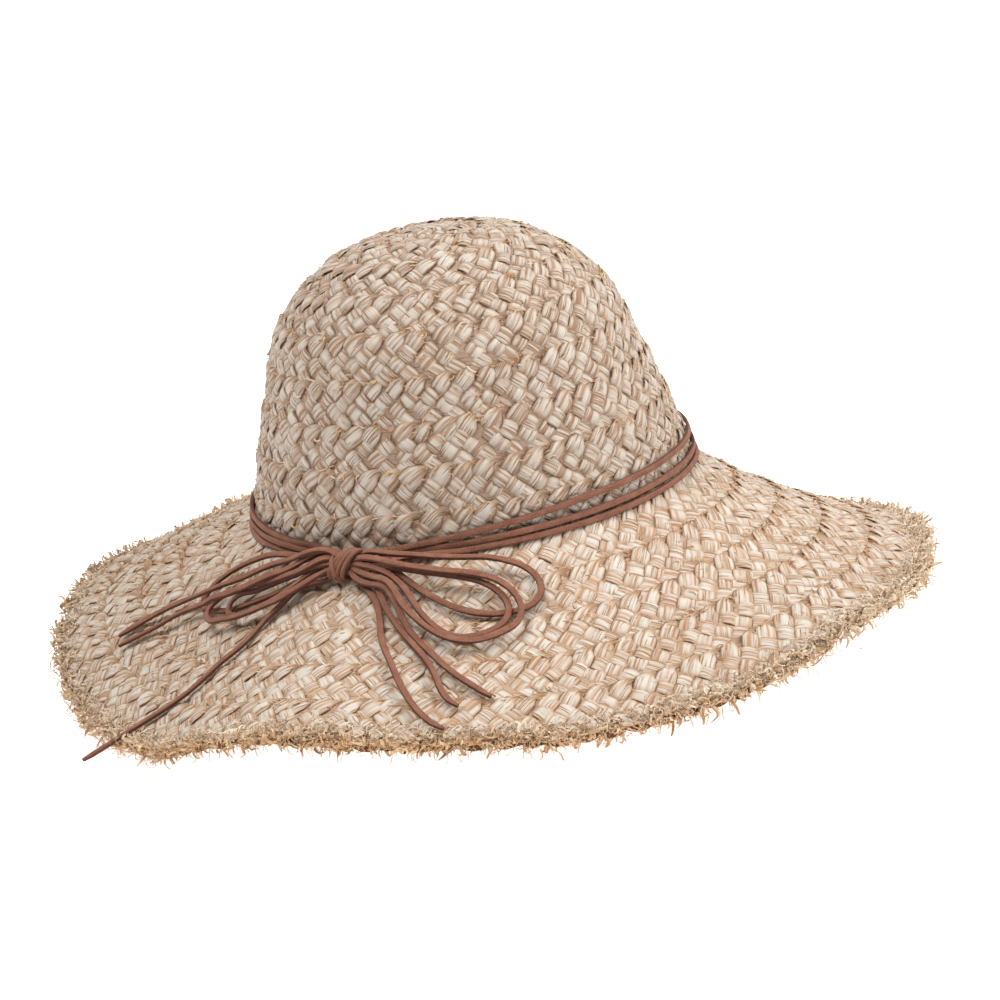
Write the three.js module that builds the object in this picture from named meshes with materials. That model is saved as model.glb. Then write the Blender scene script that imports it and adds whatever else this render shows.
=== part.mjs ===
import * as THREE from 'three';

// A wide-brimmed straw sun hat: a flat raffia plait sewn turn by turn into a
// domed crown and a soft, drooping brim with a frayed edge, a cloth sweatband
// inside, and three thin suede laces tied in a bow round the crown.
// Millimetres, +Z up. The origin is the centre of the head opening, in the
// plane where the crown meets the brim.

// ---- driving dimensions -------------------------------------------------
const CROWN_BASE_R = 96;          // mean outer radius at the head opening
const OVAL_X = 98.37 / 96;        // the crown is slightly oval
const OVAL_Y = 93.63 / 96;
const LEAN = -0.0146;             // the soft crown leans a little, per mm of height
const CROWN_PITCH = 19;           // visible width of one turn of the plait
const CROWN_FIRST = 15.5;         // the turn that bends from crown to brim
const CROWN_TURNS = 8;
const BRIM_PITCH = 21;
const BRIM_TURNS = 5;
const FRINGE = 11.4;              // width of the frayed edge
const STRAW = 2.6;                // thickness of the plait
const ROUND = 0.7;                // how far a turn is thinner at its two edges
const GAP = 0.3;                  // clearance between neighbouring pieces
const BRIM_W = BRIM_PITCH * BRIM_TURNS + FRINGE;
const SEG = 44;                   // facets round the hat
const LACE_R = 1.0;               // half thickness of a lace's plain tube
const SWEAT_H = 27;               // sweatband height
const SWEAT_T = 1.2;              // sweatband thickness
const KNOT = { pos: [-57.170, -87.629, 1.898], along: [0.84953, -0.52754, 0.00000], up: [0.26515, 0.42699, 0.86451], out: [-0.45606, -0.73442, 0.50262], half: [5.6, 7.4, 5.6] };

// Crown outline: [radius, height] at equal steps from the base to the top.
const PROFILE = [[96, 0], [94.13, 9.93], [92.08, 19.82], [89.75, 29.64], [86.99, 39.36], [83.84, 48.95],
  [80.75, 58.57], [78.02, 68.29], [74.93, 77.9], [70.28, 86.84], [64, 94.75], [56.71, 101.72],
  [48.6, 107.72], [39.71, 112.5], [30.12, 115.64], [20.16, 117.28], [10.1, 118.07], [0, 118.31]];
// Brim slope round the hat, in degrees below level, as a short Fourier series,
// and how much the slope eases from the crown to the edge.
const DROOP = [25.394, 3.553, -2.557, 2.28, 4.79, -3.904, 1.229, -1.777, 1.975, 1.424, -1.825];
const EASE = [4.708, 6.282, -1.601, -0.733, 3.31];

// Lace routes: centre lines, from the knot outwards.
const ROUTES = {
  bow_loop_right_1: [[-50.14, -89.57, 5.44], [-45.96, -91.81, 6.05], [-39.26, -95.99, 5.04], [-31.92, -99.04, 4.36], [-24.59, -102.03, 3.4], [-16.95, -103.97, 2.17], [-9.12, -105.02, 1.03], [-1.23, -105.2, -0.13], [6.4, -106.2, -2.19], [13.58, -107.62, -5.35], [17.18, -109.44, -7.9], [19.6, -112.3, -10.84], [20.32, -115.92, -13.82], [18.95, -119.73, -16.29], [15.8, -122.86, -17.89], [11.53, -124.8, -18.6], [3.71, -126.32, -18.66], [-2.58, -126.55, -17.79], [-10.15, -124.96, -15.99], [-16.93, -121.55, -13.58], [-22.85, -116.97, -10.8], [-27.25, -112.98, -8.39], [-31.39, -108.75, -5.79], [-35.16, -104.1, -3.07], [-38.74, -99.2, -0.51], [-41.86, -96.32, 1.54], [-46.79, -93.02, 3.11], [-50.85, -90.72, 3.11]],
  bow_loop_right_2: [[-52.08, -92.71, 4.47], [-47.06, -96.66, 4.79], [-42.01, -100.54, 3.94], [-36.78, -104.09, 2.71], [-29.76, -107.51, 1.23], [-22.36, -110.1, -0.28], [-14.75, -112.07, -1.79], [-7.14, -113.86, -3.37], [0.15, -116.25, -5.58], [5.16, -119.2, -8.19], [8.85, -123.17, -11.54], [10.54, -126.63, -14.38], [10.74, -130.42, -17.26], [9.1, -134.13, -19.74], [5.64, -136.99, -21.29], [-1.63, -140.17, -22.25], [-7.65, -142.26, -22.54], [-13.96, -142.74, -21.88], [-18.52, -141.82, -20.77], [-23.84, -139.02, -18.63], [-29.2, -134.07, -15.43], [-33.42, -128.17, -12.14], [-36.66, -121.78, -8.77], [-38.91, -115.44, -4.72], [-40.57, -111.21, -2.58], [-43.22, -106.97, -1.88], [-47.45, -102.11, -1.95], [-51.62, -97.33, -1.18], [-53.49, -94.97, -0.12]],
  bow_loop_right_3: [[-51.57, -91.88, 0.77], [-46.33, -95.76, 0.68], [-41.44, -100.02, 0.92], [-37.37, -102.57, 0.55], [-30.11, -105.53, -0.98], [-22.82, -108.45, -2.46], [-16.78, -110.21, -3.71], [-10.75, -111.96, -5.11], [-4.99, -114.19, -6.9], [0.16, -117.16, -9.36], [4.11, -121.12, -12.62], [5.72, -124.93, -15.31], [5.94, -127.8, -16.97], [4.96, -130.01, -18.96], [1.77, -132.84, -20.89], [-3.75, -135.69, -22.15], [-9.9, -137.42, -22.38], [-14.67, -137.76, -22], [-19.2, -136.72, -20.87], [-22.83, -134.17, -19.01], [-26.6, -129.83, -16.16], [-29.65, -125.02, -13.2], [-31.87, -119.81, -10.19], [-33.8, -114.44, -7.28], [-36.92, -107.96, -3.89], [-40.65, -103.71, -1.15], [-45.38, -100.16, 1.26], [-50.38, -96.07, 2.37], [-52.8, -93.86, 2.13]],
  bow_loop_left_1: [[-62.75, -83.34, 3.11], [-67.97, -79.61, 3.04], [-72.52, -75.09, 2.82], [-77.71, -69.09, 2.45], [-82.89, -63.04, 2.07], [-87.83, -56.81, 1.26], [-93.18, -51.15, -0.51], [-99.03, -46.31, -3.01], [-105.12, -42.04, -5.94], [-111.5, -38.71, -9.41], [-116.84, -37.61, -12.7], [-120.54, -38.71, -15.47], [-122.42, -40.58, -17.25], [-123.67, -44.67, -19.29], [-123.28, -47.74, -20.03], [-120.98, -51.91, -20.09], [-115.96, -58.08, -19.26], [-110.41, -63.66, -17.88], [-104.26, -68.24, -15.65], [-97.96, -72.42, -13.06], [-91.42, -76.18, -10.55], [-84.67, -78.97, -7.67], [-77.55, -80.47, -4.8], [-71.38, -82.71, -3.99], [-65.5, -85.01, -2.21], [-64.15, -85.6, -1.47]],
  bow_loop_left_2: [[-63.98, -85.32, 4.47], [-66.73, -84.4, 4.99], [-69.75, -84.17, 4.69], [-72.55, -84.56, 3.29], [-76.52, -83.84, 0.5], [-81.92, -80.82, -1.34], [-87.3, -77.92, -3.36], [-92.59, -74.13, -5.14], [-97.45, -69.83, -6.58], [-102.21, -65.6, -8.29], [-108.26, -61.7, -10.91], [-113.81, -57.96, -12.99], [-117.16, -57.66, -15.3], [-119.33, -58.51, -16.46], [-120.86, -60.01, -17.86], [-121.39, -63, -19.62], [-120.15, -66.01, -20.38], [-117.53, -68.51, -19.9], [-114.25, -71.57, -18.74], [-111.04, -75.32, -17.69], [-104.55, -79.24, -15.79], [-97.94, -82.56, -13.27], [-91.12, -85.46, -10.59], [-84.08, -87.42, -7.63], [-78.48, -88.61, -4.92], [-74.14, -87.93, -3.06], [-69.77, -86.69, -1.53], [-66.76, -86.92, -0.56], [-65.38, -87.58, -0.12]],
  bow_loop_left_3: [[-64.69, -86.47, 2.13], [-67.6, -85.06, 2.38], [-73.35, -82.24, 0.74], [-78.6, -79.95, -2.1], [-84.1, -77.11, -4.01], [-89.32, -73.96, -6.16], [-96.06, -70.75, -8.84], [-101.06, -68.47, -9.81], [-105.64, -65.96, -11], [-108.99, -66.05, -12.89], [-111.19, -67.7, -15.24], [-111.56, -70.09, -17.19], [-110.02, -72.46, -18.08], [-107.45, -74.64, -17.72], [-101.09, -78.03, -15.23], [-95.68, -80.65, -12.94], [-90.19, -82.91, -10.37], [-84.63, -84.51, -7.44], [-79.04, -84.72, -4.27], [-73.36, -83.33, -1.76], [-68.96, -82.35, -0.15], [-66.01, -82.89, 0.66], [-63.46, -84.49, 0.77]],
  lace_tail_right_1: [[-53.95, -93.53, -3.81], [-52.52, -95.83, -5.54], [-49.53, -102.84, -7.67], [-47.63, -110.26, -8.8], [-46.8, -114.5, -10.68], [-46.51, -121.27, -14.74], [-46.99, -128.56, -17.84], [-46.33, -135.89, -20.82], [-44.87, -143.13, -23.77], [-43.41, -150.4, -26.61], [-41.87, -157.68, -29.4], [-39.95, -164.87, -32.18], [-37.48, -171.9, -34.95], [-34.16, -178.57, -37.69], [-30.44, -183.25, -39.82], [-26.88, -186.03, -41.32]],
  lace_tail_right_2: [[-52.26, -92.99, -1.47], [-49.16, -96.09, -3.21], [-46.66, -101.49, -5.19], [-45.18, -108.97, -7.41], [-43.84, -116.32, -10.19], [-41.52, -122.93, -13.95], [-38.71, -129.51, -17.45], [-35.61, -136.15, -20.57], [-32.26, -142.67, -23.51], [-29.38, -149.37, -26.58], [-27.48, -156.39, -29.71], [-26.17, -163.58, -32.81], [-24.29, -169.1, -35.27], [-21.52, -172.52, -37.01], [-20.3, -173.38, -37.53]],
  lace_tail_right_3: [[-55.19, -95.51, -2.45], [-54.11, -97.94, -4.29], [-52.22, -100.49, -4.94], [-46.48, -105.97, -4.05], [-42.41, -110.48, -4.52], [-40.64, -114.18, -6.39], [-39.11, -119.4, -9.85], [-37.53, -124.64, -13.31], [-35.85, -129.87, -16.65], [-33.35, -134.93, -19.67], [-30.26, -139.92, -22.37], [-27.13, -144.97, -24.87], [-24.1, -150.09, -27.33], [-20.65, -154.94, -29.78], [-16.69, -159.37, -32.22], [-12.44, -163.54, -34.67], [-8.14, -167.61, -37.16], [-7.08, -168.64, -37.8]],
  lace_tail_left_1: [[-63.26, -84.17, 6.8], [-67.33, -81.97, 7.72], [-73.2, -79.84, 6.65], [-78.64, -77.34, 4.37], [-83.76, -73.91, 2.57], [-90.07, -69.41, 0.6], [-96.64, -65.8, -2.13], [-103.02, -61.98, -5.02], [-108.83, -57.12, -7.5], [-114.51, -52.13, -10.04], [-120.33, -47.42, -12.8], [-126.23, -42.79, -15.53], [-132.14, -38.17, -18.22], [-138.06, -33.61, -21.02], [-144.12, -29.4, -24.03], [-150.53, -25.94, -27.28], [-157.36, -23.6, -30.65], [-164.57, -22.71, -33.9]],
  lace_tail_left_2: [[-62.03, -82.19, 5.44], [-64.43, -80.27, 6.08], [-67.36, -79.07, 5.93], [-71.92, -78.62, 4.6], [-79.25, -78.81, 1.45], [-83.66, -77.98, -0.14], [-90.73, -75.59, -1.81], [-95.98, -73.51, -3.85], [-101.02, -69.98, -6.38], [-106.09, -66.42, -8.37], [-112.14, -62.07, -10.93], [-117.17, -58.55, -12.47], [-118.37, -57.3, -12.91], [-122.31, -52.95, -16.29], [-126.78, -48.76, -18.5], [-131.48, -44.89, -20.56], [-137.77, -41.1, -23.68], [-144.25, -38.05, -27.19], [-150.68, -34.56, -30.35], [-157.34, -31.28, -33.26], [-163.05, -29.77, -35.63], [-164.51, -29.63, -36.24]],
  lace_tail_left_3: [[-63.89, -87.36, -3.81], [-66.32, -87.14, -5.61], [-69.04, -86.12, -6.43], [-75.54, -83.03, -6.12], [-79.74, -82.5, -7.3], [-85.7, -84.14, -11.72], [-92.43, -85.65, -15.71], [-98.37, -89, -19.81], [-104.47, -92.21, -23.82], [-111.34, -93.4, -27.67], [-118.22, -94.46, -31.55], [-124.73, -96.73, -35.58], [-131.49, -98.16, -39.55], [-138.52, -97.69, -43.28], [-145.54, -96.42, -46.86], [-152.53, -94.83, -50.37], [-159.53, -93.15, -53.85], [-166.55, -91.84, -57.41], [-173.63, -90.74, -60.93], [-180.79, -89.39, -64.2]],
  lace_band_upper: [[-48.91, -87.59, 4.09], [-44.69, -89.72, 4.11], [-33.55, -89.46, 4.51], [-22.74, -91.96, 5.64], [-11.72, -93.53, 6.81], [-0.6, -93.97, 7.89], [10.53, -93.26, 8.75], [21.52, -91.34, 9.61], [32.24, -88.24, 10.48], [42.54, -83.98, 11.36], [52.37, -78.65, 11.84], [61.55, -72.26, 12.12], [69.94, -64.87, 12.41], [77.4, -56.54, 12.7], [83.82, -47.38, 12.96], [89.12, -37.53, 13.01], [93.17, -27.1, 13.07], [95.9, -16.25, 13.12], [97.24, -5.15, 13.18], [97.17, 6.04, 13.23], [95.69, 17.12, 13.28], [92.84, 27.94, 13.34], [88.68, 38.32, 13.32], [83.27, 48.12, 13.29], [76.72, 57.18, 13.27], [69.13, 65.4, 13.24], [60.63, 72.68, 13.22], [51.35, 78.93, 13.19], [41.42, 84.08, 13.17], [30.98, 88.09, 13.14], [20.16, 90.93, 13.11], [9.09, 92.57, 12.98], [-2.09, 93.01, 12.83], [-13.25, 92.22, 12.69], [-24.25, 90.21, 12.55], [-34.97, 87.01, 12.41], [-45.27, 82.63, 12.27], [-55.01, 77.14, 12.13], [-64.06, 70.56, 11.99], [-72.29, 62.99, 11.85], [-79.58, 54.51, 11.71], [-85.82, 45.22, 11.45], [-90.91, 35.27, 11.02], [-94.74, 24.77, 10.6], [-97.25, 13.88, 10.17], [-98.37, 2.76, 9.72], [-98.16, -8.4, 9], [-96.55, -19.45, 8.26], [-93.59, -30.21, 7.53], [-89.33, -40.53, 6.78], [-83.86, -50.29, 6.05], [-77.28, -59.38, 5.44], [-69.7, -67.69, 5.01], [-64.57, -77.46, 4.19], [-60.8, -80.2, 4.09]],
  lace_band_middle: [[-49.62, -88.74, 1.75], [-45.42, -90.67, 1.67], [-34.3, -89.59, 1.78], [-23.36, -92.13, 2.85], [-12.37, -94.03, 3.31], [-1.24, -94.7, 3.88], [9.94, -94.17, 4.18], [21.01, -92.45, 4.46], [31.81, -89.54, 4.74], [42.24, -85.48, 5.02], [52.16, -80.29, 5.28], [61.44, -74.02, 5.52], [69.94, -66.75, 5.77], [77.55, -58.54, 6.01], [84.14, -49.49, 6.25], [89.63, -39.73, 6.39], [93.89, -29.38, 6.52], [96.85, -18.58, 6.66], [98.45, -7.5, 6.79], [98.66, 3.69, 6.93], [97.47, 14.82, 7.06], [94.92, 25.72, 7.2], [91.06, 36.23, 7.24], [85.95, 46.19, 7.23], [79.68, 55.47, 7.23], [72.36, 63.94, 7.23], [64.11, 71.5, 7.22], [55.04, 78.07, 7.22], [45.29, 83.58, 7.22], [34.99, 87.96, 7.21], [24.26, 91.19, 7.21], [13.26, 93.24, 7.17], [2.09, 94.09, 7.11], [-9.1, 93.74, 7.06], [-20.19, 92.17, 7], [-31.04, 89.42, 6.94], [-41.52, 85.49, 6.89], [-51.51, 80.43, 6.83], [-60.87, 74.28, 6.77], [-69.47, 67.11, 6.72], [-77.18, 59, 6.66], [-83.89, 50.03, 6.6], [-89.51, 40.35, 6.34], [-93.92, 30.06, 6.08], [-97.03, 19.31, 5.81], [-98.8, 8.26, 5.54], [-99.19, -2.92, 5.17], [-98.22, -14.07, 4.7], [-95.88, -25.02, 4.24], [-92.22, -35.65, 3.76], [-87.32, -45.88, 3.64], [-81.19, -55.2, 3.18], [-73.89, -63.64, 2.64], [-68.86, -69.86, 2.3], [-65.26, -78.55, 1.8], [-61.51, -81.36, 1.75]],
  lace_band_lower: [[-50.34, -89.89, -0.58], [-46.08, -92.26, -0.46], [-35.11, -92.09, 1.02], [-24.31, -94.11, 1.28], [-13.21, -94.9, 0.8], [-2.04, -95.31, 0.89], [9.15, -94.83, 1.04], [20.24, -93.22, 1.17], [31.1, -90.44, 1.3], [41.58, -86.51, 1.43], [51.57, -81.44, 1.6], [60.93, -75.29, 1.82], [69.54, -68.12, 2.04], [77.28, -60.02, 2.26], [84.01, -51.07, 2.48], [89.65, -41.39, 2.62], [94.09, -31.11, 2.76], [97.25, -20.36, 2.89], [99.06, -9.31, 3.03], [99.49, 1.88, 3.16], [98.54, 13.04, 3.3], [96.22, 24, 3.43], [92.58, 34.6, 3.49], [87.7, 44.68, 3.49], [81.64, 54.1, 3.49], [74.52, 62.75, 3.48], [66.44, 70.51, 3.48], [57.53, 77.3, 3.48], [47.91, 83.05, 3.47], [37.72, 87.69, 3.47], [27.08, 91.2, 3.47], [16.12, 93.53, 3.45], [4.97, 94.68, 3.41], [-6.23, 94.62, 3.37], [-17.36, 93.36, 3.33], [-28.3, 90.92, 3.29], [-38.9, 87.3, 3.26], [-49.04, 82.55, 3.22], [-58.6, 76.7, 3.18], [-67.43, 69.81, 3.14], [-75.43, 61.96, 3.11], [-82.45, 53.24, 3.07], [-88.42, 43.76, 2.91], [-93.21, 33.63, 2.69], [-96.75, 23.01, 2.47], [-98.95, 12.03, 2.25], [-99.8, 0.86, 1.98], [-99.29, -10.33, 1.51], [-97.42, -21.39, 1.05], [-94.3, -32.28, 0.64], [-89.29, -42.23, 1.18], [-83.82, -51.94, 0.72], [-77.46, -61.3, 0.41], [-70.33, -69.58, 0.07], [-66.01, -79.55, -0.63], [-62.23, -82.51, -0.58]],
};

// ---- the hat's outer surface --------------------------------------------
const rad = THREE.MathUtils.degToRad;
const outline = new THREE.SplineCurve(PROFILE.map(([r, z]) => new THREE.Vector2(r, z)));
outline.arcLengthDivisions = 600;
const CROWN_ARC = outline.getLength();

function series(c, ph) {
  let s = c[0];
  for (let k = 1; 2 * k < c.length; k++) s += c[2 * k - 1] * Math.cos(k * ph) + c[2 * k] * Math.sin(k * ph);
  return s;
}

// a is the distance along the straw from the crown's base: up the crown when
// positive, out along the brim when negative.
function surface(ph, a) {
  const up = THREE.MathUtils.clamp(a, 0, CROWN_ARC);
  const p = outline.getPointAt(up / CROWN_ARC);
  const r = Math.max(p.x, 0);
  const z = p.y;
  let nx = Math.cos(ph) / OVAL_X;
  let ny = Math.sin(ph) / OVAL_Y;
  const q = Math.hypot(nx, ny);
  nx /= q;
  ny /= q;
  const s = Math.max(-a, 0);
  const droop = rad(series(DROOP, ph));
  const ease = rad(series(EASE, ph));
  const steps = 24;
  const ds = s / steps;
  let out = 0;
  let down = 0;
  for (let i = 0; i < steps; i++) {
    const ang = droop + ease * (1 - 2 * ((i + 0.5) * ds / BRIM_W));
    out += Math.cos(ang) * ds;
    down += Math.sin(ang) * ds;
  }
  return new THREE.Vector3(
    r * OVAL_X * Math.cos(ph) + LEAN * z + out * nx,
    r * OVAL_Y * Math.sin(ph) + out * ny,
    z - down);
}

function normal(ph, a) {
  const e = 0.4;
  const lo = Math.min(a, CROWN_ARC - 2 * e);
  const side = surface(ph + 0.002, lo).sub(surface(ph - 0.002, lo));
  const along = surface(ph, lo + e).sub(surface(ph, lo - e));
  return side.cross(along).normalize();
}

// ---- pieces --------------------------------------------------------------
const hat = new THREE.Group();
hat.name = 'straw_sun_hat';

function add(name, geometry, look) {
  const mesh = new THREE.Mesh(geometry, new THREE.MeshStandardMaterial(look));
  mesh.name = name;
  hat.add(mesh);
  return mesh;
}

const STRAW_LOOK = { color: 0xd6c0a6, roughness: 0.75, metalness: 0 };
const FRINGE_LOOK = { color: 0xc9a67e, roughness: 0.8, metalness: 0 };
const SUEDE_LOOK = { color: 0x7d5846, roughness: 0.9, metalness: 0 };
const CLOTH_LOOK = { color: 0xe6ddcc, roughness: 0.9, metalness: 0 };

// A LatheGeometry is turned from a flat outline whose x is (BIG - distance
// along the straw) and whose y is the height over the hat's surface; every
// vertex is then carried onto the hat.
const BIG = 400;
function turned(points) {
  const g = new THREE.LatheGeometry(points.map(([a, h]) => new THREE.Vector2(BIG - a, h)), SEG);
  const pos = g.getAttribute('position');
  for (let i = 0; i < pos.count; i++) {
    const x = pos.getX(i);
    const h = pos.getY(i);
    const z = pos.getZ(i);
    const a = BIG - Math.hypot(x, z);
    const ph = Math.atan2(z, x);
    const p = surface(ph, a).addScaledVector(normal(ph, a), h);
    pos.setXYZ(i, p.x, p.y, p.z);
  }
  pos.needsUpdate = true;
  return g;
}

// One turn of the plait between two distances, thicker in the middle.
function turn(lo, hi) {
  const a = lo + GAP / 2;
  const b = hi - GAP / 2;
  return turned([[b, -STRAW], [b, -ROUND], [(a + b) / 2, 0], [a, -ROUND], [a, -STRAW], [b, -STRAW]]);
}

// crown rows, numbered from the top down
const seams = [];
for (let i = 0; i < CROWN_TURNS; i++) seams.push(CROWN_FIRST + CROWN_PITCH * i);
const tipFrom = seams[seams.length - 1];
{
  // the coil at the centre of the crown's top: a shallow cap closed on the axis
  const n = 5;
  const pts = [];
  const r1 = CROWN_ARC - (tipFrom + GAP / 2);
  const top = [];
  for (let i = 0; i <= n; i++) top.push([r1 * i / n, i === n ? -ROUND : 0]);
  pts.push([0, 0], ...top.slice(1), [r1, -STRAW], [0, -STRAW]);
  const g = new THREE.LatheGeometry(pts.map(([d, h]) => new THREE.Vector2(d, h)), SEG);
  const pos = g.getAttribute('position');
  for (let i = 0; i < pos.count; i++) {
    const x = pos.getX(i);
    const h = pos.getY(i);
    const z = pos.getZ(i);
    const d = Math.hypot(x, z);
    const ph = Math.atan2(z, x);
    if (d < 1e-6) {
      const p = surface(0, CROWN_ARC);
      pos.setXYZ(i, LEAN * p.z, 0, p.z + h);
    } else {
      const p = surface(ph, CROWN_ARC - d).addScaledVector(normal(ph, CROWN_ARC - d), h);
      pos.setXYZ(i, p.x, p.y, p.z);
    }
  }
  add('crown_tip', g, STRAW_LOOK);
}
for (let i = 0; i < CROWN_TURNS; i++) {
  const hi = seams[CROWN_TURNS - 1 - i];
  const lo = i === CROWN_TURNS - 1 ? 0 : seams[CROWN_TURNS - 2 - i];
  // the lowest turn stops short so that it clears the brim's first turn
  add('crown_row_' + (i + 1), turn(i === CROWN_TURNS - 1 ? lo + 0.6 : lo, hi), STRAW_LOOK);
}

// brim rows, numbered from the crown outwards; the first one starts past the
// bend so that its underside clears the crown's lowest turn
for (let i = 0; i < BRIM_TURNS; i++) {
  const hi = -BRIM_PITCH * i;
  const lo = -BRIM_PITCH * (i + 1);
  add('brim_row_' + (i + 1), turn(lo, i === 0 ? hi - 0.6 : hi), STRAW_LOOK);
}
{
  const hi = -BRIM_PITCH * BRIM_TURNS - GAP / 2;
  const lo = -BRIM_W;
  add('brim_fringe', turned([[hi, -STRAW], [hi, -0.4], [lo, -0.2], [lo, -STRAW], [hi, -STRAW]]), FRINGE_LOOK);
}

// the cloth sweatband, lying inside the crown's two lowest turns
{
  const h1 = -(STRAW + 0.45);
  const h2 = h1 - SWEAT_T;
  const lo = 2.6;
  const hi = lo + SWEAT_H;
  add('sweatband', turned([[hi, h2], [hi, h1], [lo, h1], [lo, h2], [hi, h2]]), CLOTH_LOOK);
}

// ---- laces ---------------------------------------------------------------
// A route with its own steps: closer together where the lace bends sharply.
class Route extends THREE.Curve {
  constructor(points) {
    super();
    this.points = points.map((p) => new THREE.Vector3(...p));
  }
  getPoint(t, target = new THREE.Vector3()) {
    const n = this.points.length - 1;
    const f = THREE.MathUtils.clamp(t, 0, 1) * n;
    const i = Math.min(Math.floor(f), n - 1);
    return target.copy(this.points[i]).lerp(this.points[i + 1], f - i);
  }
  getSpacedPoints() {
    return this.points.map((p) => p.clone());
  }
  computeFrenetFrames() {
    const p = this.points;
    const n = p.length;
    const tangents = p.map((q, i) => p[Math.min(i + 1, n - 1)].clone().sub(p[Math.max(i - 1, 0)]).normalize());
    const normals = [];
    const binormals = [];
    let side = new THREE.Vector3(0, 0, 1);
    for (let i = 0; i < n; i++) {
      side = side.clone().addScaledVector(tangents[i], -side.dot(tangents[i])).normalize();
      normals.push(side);
      binormals.push(tangents[i].clone().cross(side).normalize());
    }
    return { tangents, normals, binormals };
  }
}

function tube(points, radius, sides) {
  const shape = new THREE.Shape();
  for (let i = 0; i < sides; i++) {
    const q = ((i + 0.5) / sides) * Math.PI * 2;
    const x = Math.cos(q) * radius;
    const y = Math.sin(q) * radius;
    if (i === 0) shape.moveTo(x, y);
    else shape.lineTo(x, y);
  }
  shape.closePath();
  return new THREE.ExtrudeGeometry(shape, {
    steps: points.length - 1, extrudePath: new Route(points), bevelEnabled: false,
  });
}

for (const [name, points] of Object.entries(ROUTES)) {
  add(name, tube(points, LACE_R, name.startsWith('lace_band') ? 6 : 8), SUEDE_LOOK);
}

// the bow's knot: all the laces are gathered and wrapped here
{
  const g = new THREE.SphereGeometry(1, 14, 10);
  const knot = add('bow_knot', g, SUEDE_LOOK);
  const m = new THREE.Matrix4().makeBasis(
    new THREE.Vector3(...KNOT.along).multiplyScalar(KNOT.half[0]),
    new THREE.Vector3(...KNOT.up).multiplyScalar(KNOT.half[1]),
    new THREE.Vector3(...KNOT.out).multiplyScalar(KNOT.half[2]));
  g.applyMatrix4(m);
  knot.position.set(...KNOT.pos);
}

export default hat;
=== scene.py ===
import math

import bpy
import numpy as np
from mathutils import Matrix, Vector


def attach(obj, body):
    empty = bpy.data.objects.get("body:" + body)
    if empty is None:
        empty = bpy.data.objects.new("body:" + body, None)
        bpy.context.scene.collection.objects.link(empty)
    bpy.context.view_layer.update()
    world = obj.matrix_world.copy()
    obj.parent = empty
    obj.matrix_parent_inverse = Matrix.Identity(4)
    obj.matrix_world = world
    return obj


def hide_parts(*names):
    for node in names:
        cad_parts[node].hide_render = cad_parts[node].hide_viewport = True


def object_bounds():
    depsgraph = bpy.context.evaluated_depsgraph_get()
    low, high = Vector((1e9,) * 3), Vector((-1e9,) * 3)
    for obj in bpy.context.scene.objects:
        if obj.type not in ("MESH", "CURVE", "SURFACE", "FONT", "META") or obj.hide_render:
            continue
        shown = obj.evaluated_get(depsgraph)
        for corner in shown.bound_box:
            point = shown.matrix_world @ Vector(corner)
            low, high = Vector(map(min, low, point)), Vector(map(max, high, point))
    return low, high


# A straw sun hat: sewn rows of five-strand raffia plait, a frayed edge, a
# cloth sweatband and three suede laces tied in a bow. All sizes below are in
# millimetres until the meshes are made; the frame is in metres.

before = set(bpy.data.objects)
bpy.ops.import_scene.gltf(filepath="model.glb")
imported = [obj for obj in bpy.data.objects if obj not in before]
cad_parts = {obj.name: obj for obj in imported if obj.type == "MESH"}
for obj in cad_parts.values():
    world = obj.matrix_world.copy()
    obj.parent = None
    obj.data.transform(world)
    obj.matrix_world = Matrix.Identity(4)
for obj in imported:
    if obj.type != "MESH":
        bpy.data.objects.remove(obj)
CAD_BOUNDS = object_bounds()
MM = 0.001
RNG = np.random.default_rng(20261)

# ------------------------------------------------------------------ surface
PROFILE = np.array([(96.00,0.00),(95.65,1.94),(95.29,3.88),(94.92,5.82),(94.55,7.76),(94.18,9.69),(93.79,11.63),(93.40,13.56),(93.01,15.49),(92.60,17.42),(92.18,19.35),(91.76,21.28),(91.32,23.20),(90.87,25.12),(90.41,27.04),(89.93,28.95),(89.43,30.86),(88.92,32.77),(88.39,34.67),(87.84,36.56),(87.27,38.45),(86.68,40.34),(86.08,42.21),(85.47,44.09),(84.84,45.96),(84.22,47.83),(83.59,49.70),(82.97,51.57),(82.35,53.45),(81.75,55.33),(81.16,57.21),(80.59,59.10),(80.05,60.99),(79.51,62.89),(78.98,64.79),(78.46,66.69),(77.93,68.60),(77.40,70.50),(76.84,72.39),(76.24,74.27),(75.60,76.14),(74.90,77.98),(74.13,79.80),(73.29,81.59),(72.38,83.34),(71.40,85.06),(70.35,86.73),(69.24,88.36),(68.07,89.95),(66.84,91.50),(65.56,93.01),(64.25,94.48),(62.90,95.92),(61.51,97.33),(60.09,98.70),(58.64,100.04),(57.16,101.34),(55.64,102.60),(54.10,103.83),(52.52,105.02),(50.92,106.17),(49.28,107.28),(47.62,108.34),(45.93,109.35),(44.20,110.32),(42.45,111.23),(40.67,112.08),(38.85,112.86),(37.01,113.58),(35.15,114.23),(33.26,114.81),(31.36,115.34),(29.44,115.80),(27.51,116.20),(25.56,116.54),(23.61,116.84),(21.66,117.10),(19.69,117.33),(17.73,117.53),(15.77,117.70),(13.80,117.85),(11.83,117.98),(9.86,118.08),(7.89,118.17),(5.92,118.23),(3.95,118.27),(1.97,118.30),(0.00,118.31)])
CROWN_ARC = 171.614
OVAL_X, OVAL_Y = 98.37 / 96.0, 93.63 / 96.0
LEAN = -0.0146
DROOP = [25.394, 3.553, -2.557, 2.28, 4.79, -3.904, 1.229, -1.777, 1.975, 1.424, -1.825]
EASE = [4.708, 6.282, -1.601, -0.733, 3.31]
BRIM_W = 116.4
TAU = 2 * math.pi


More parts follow.
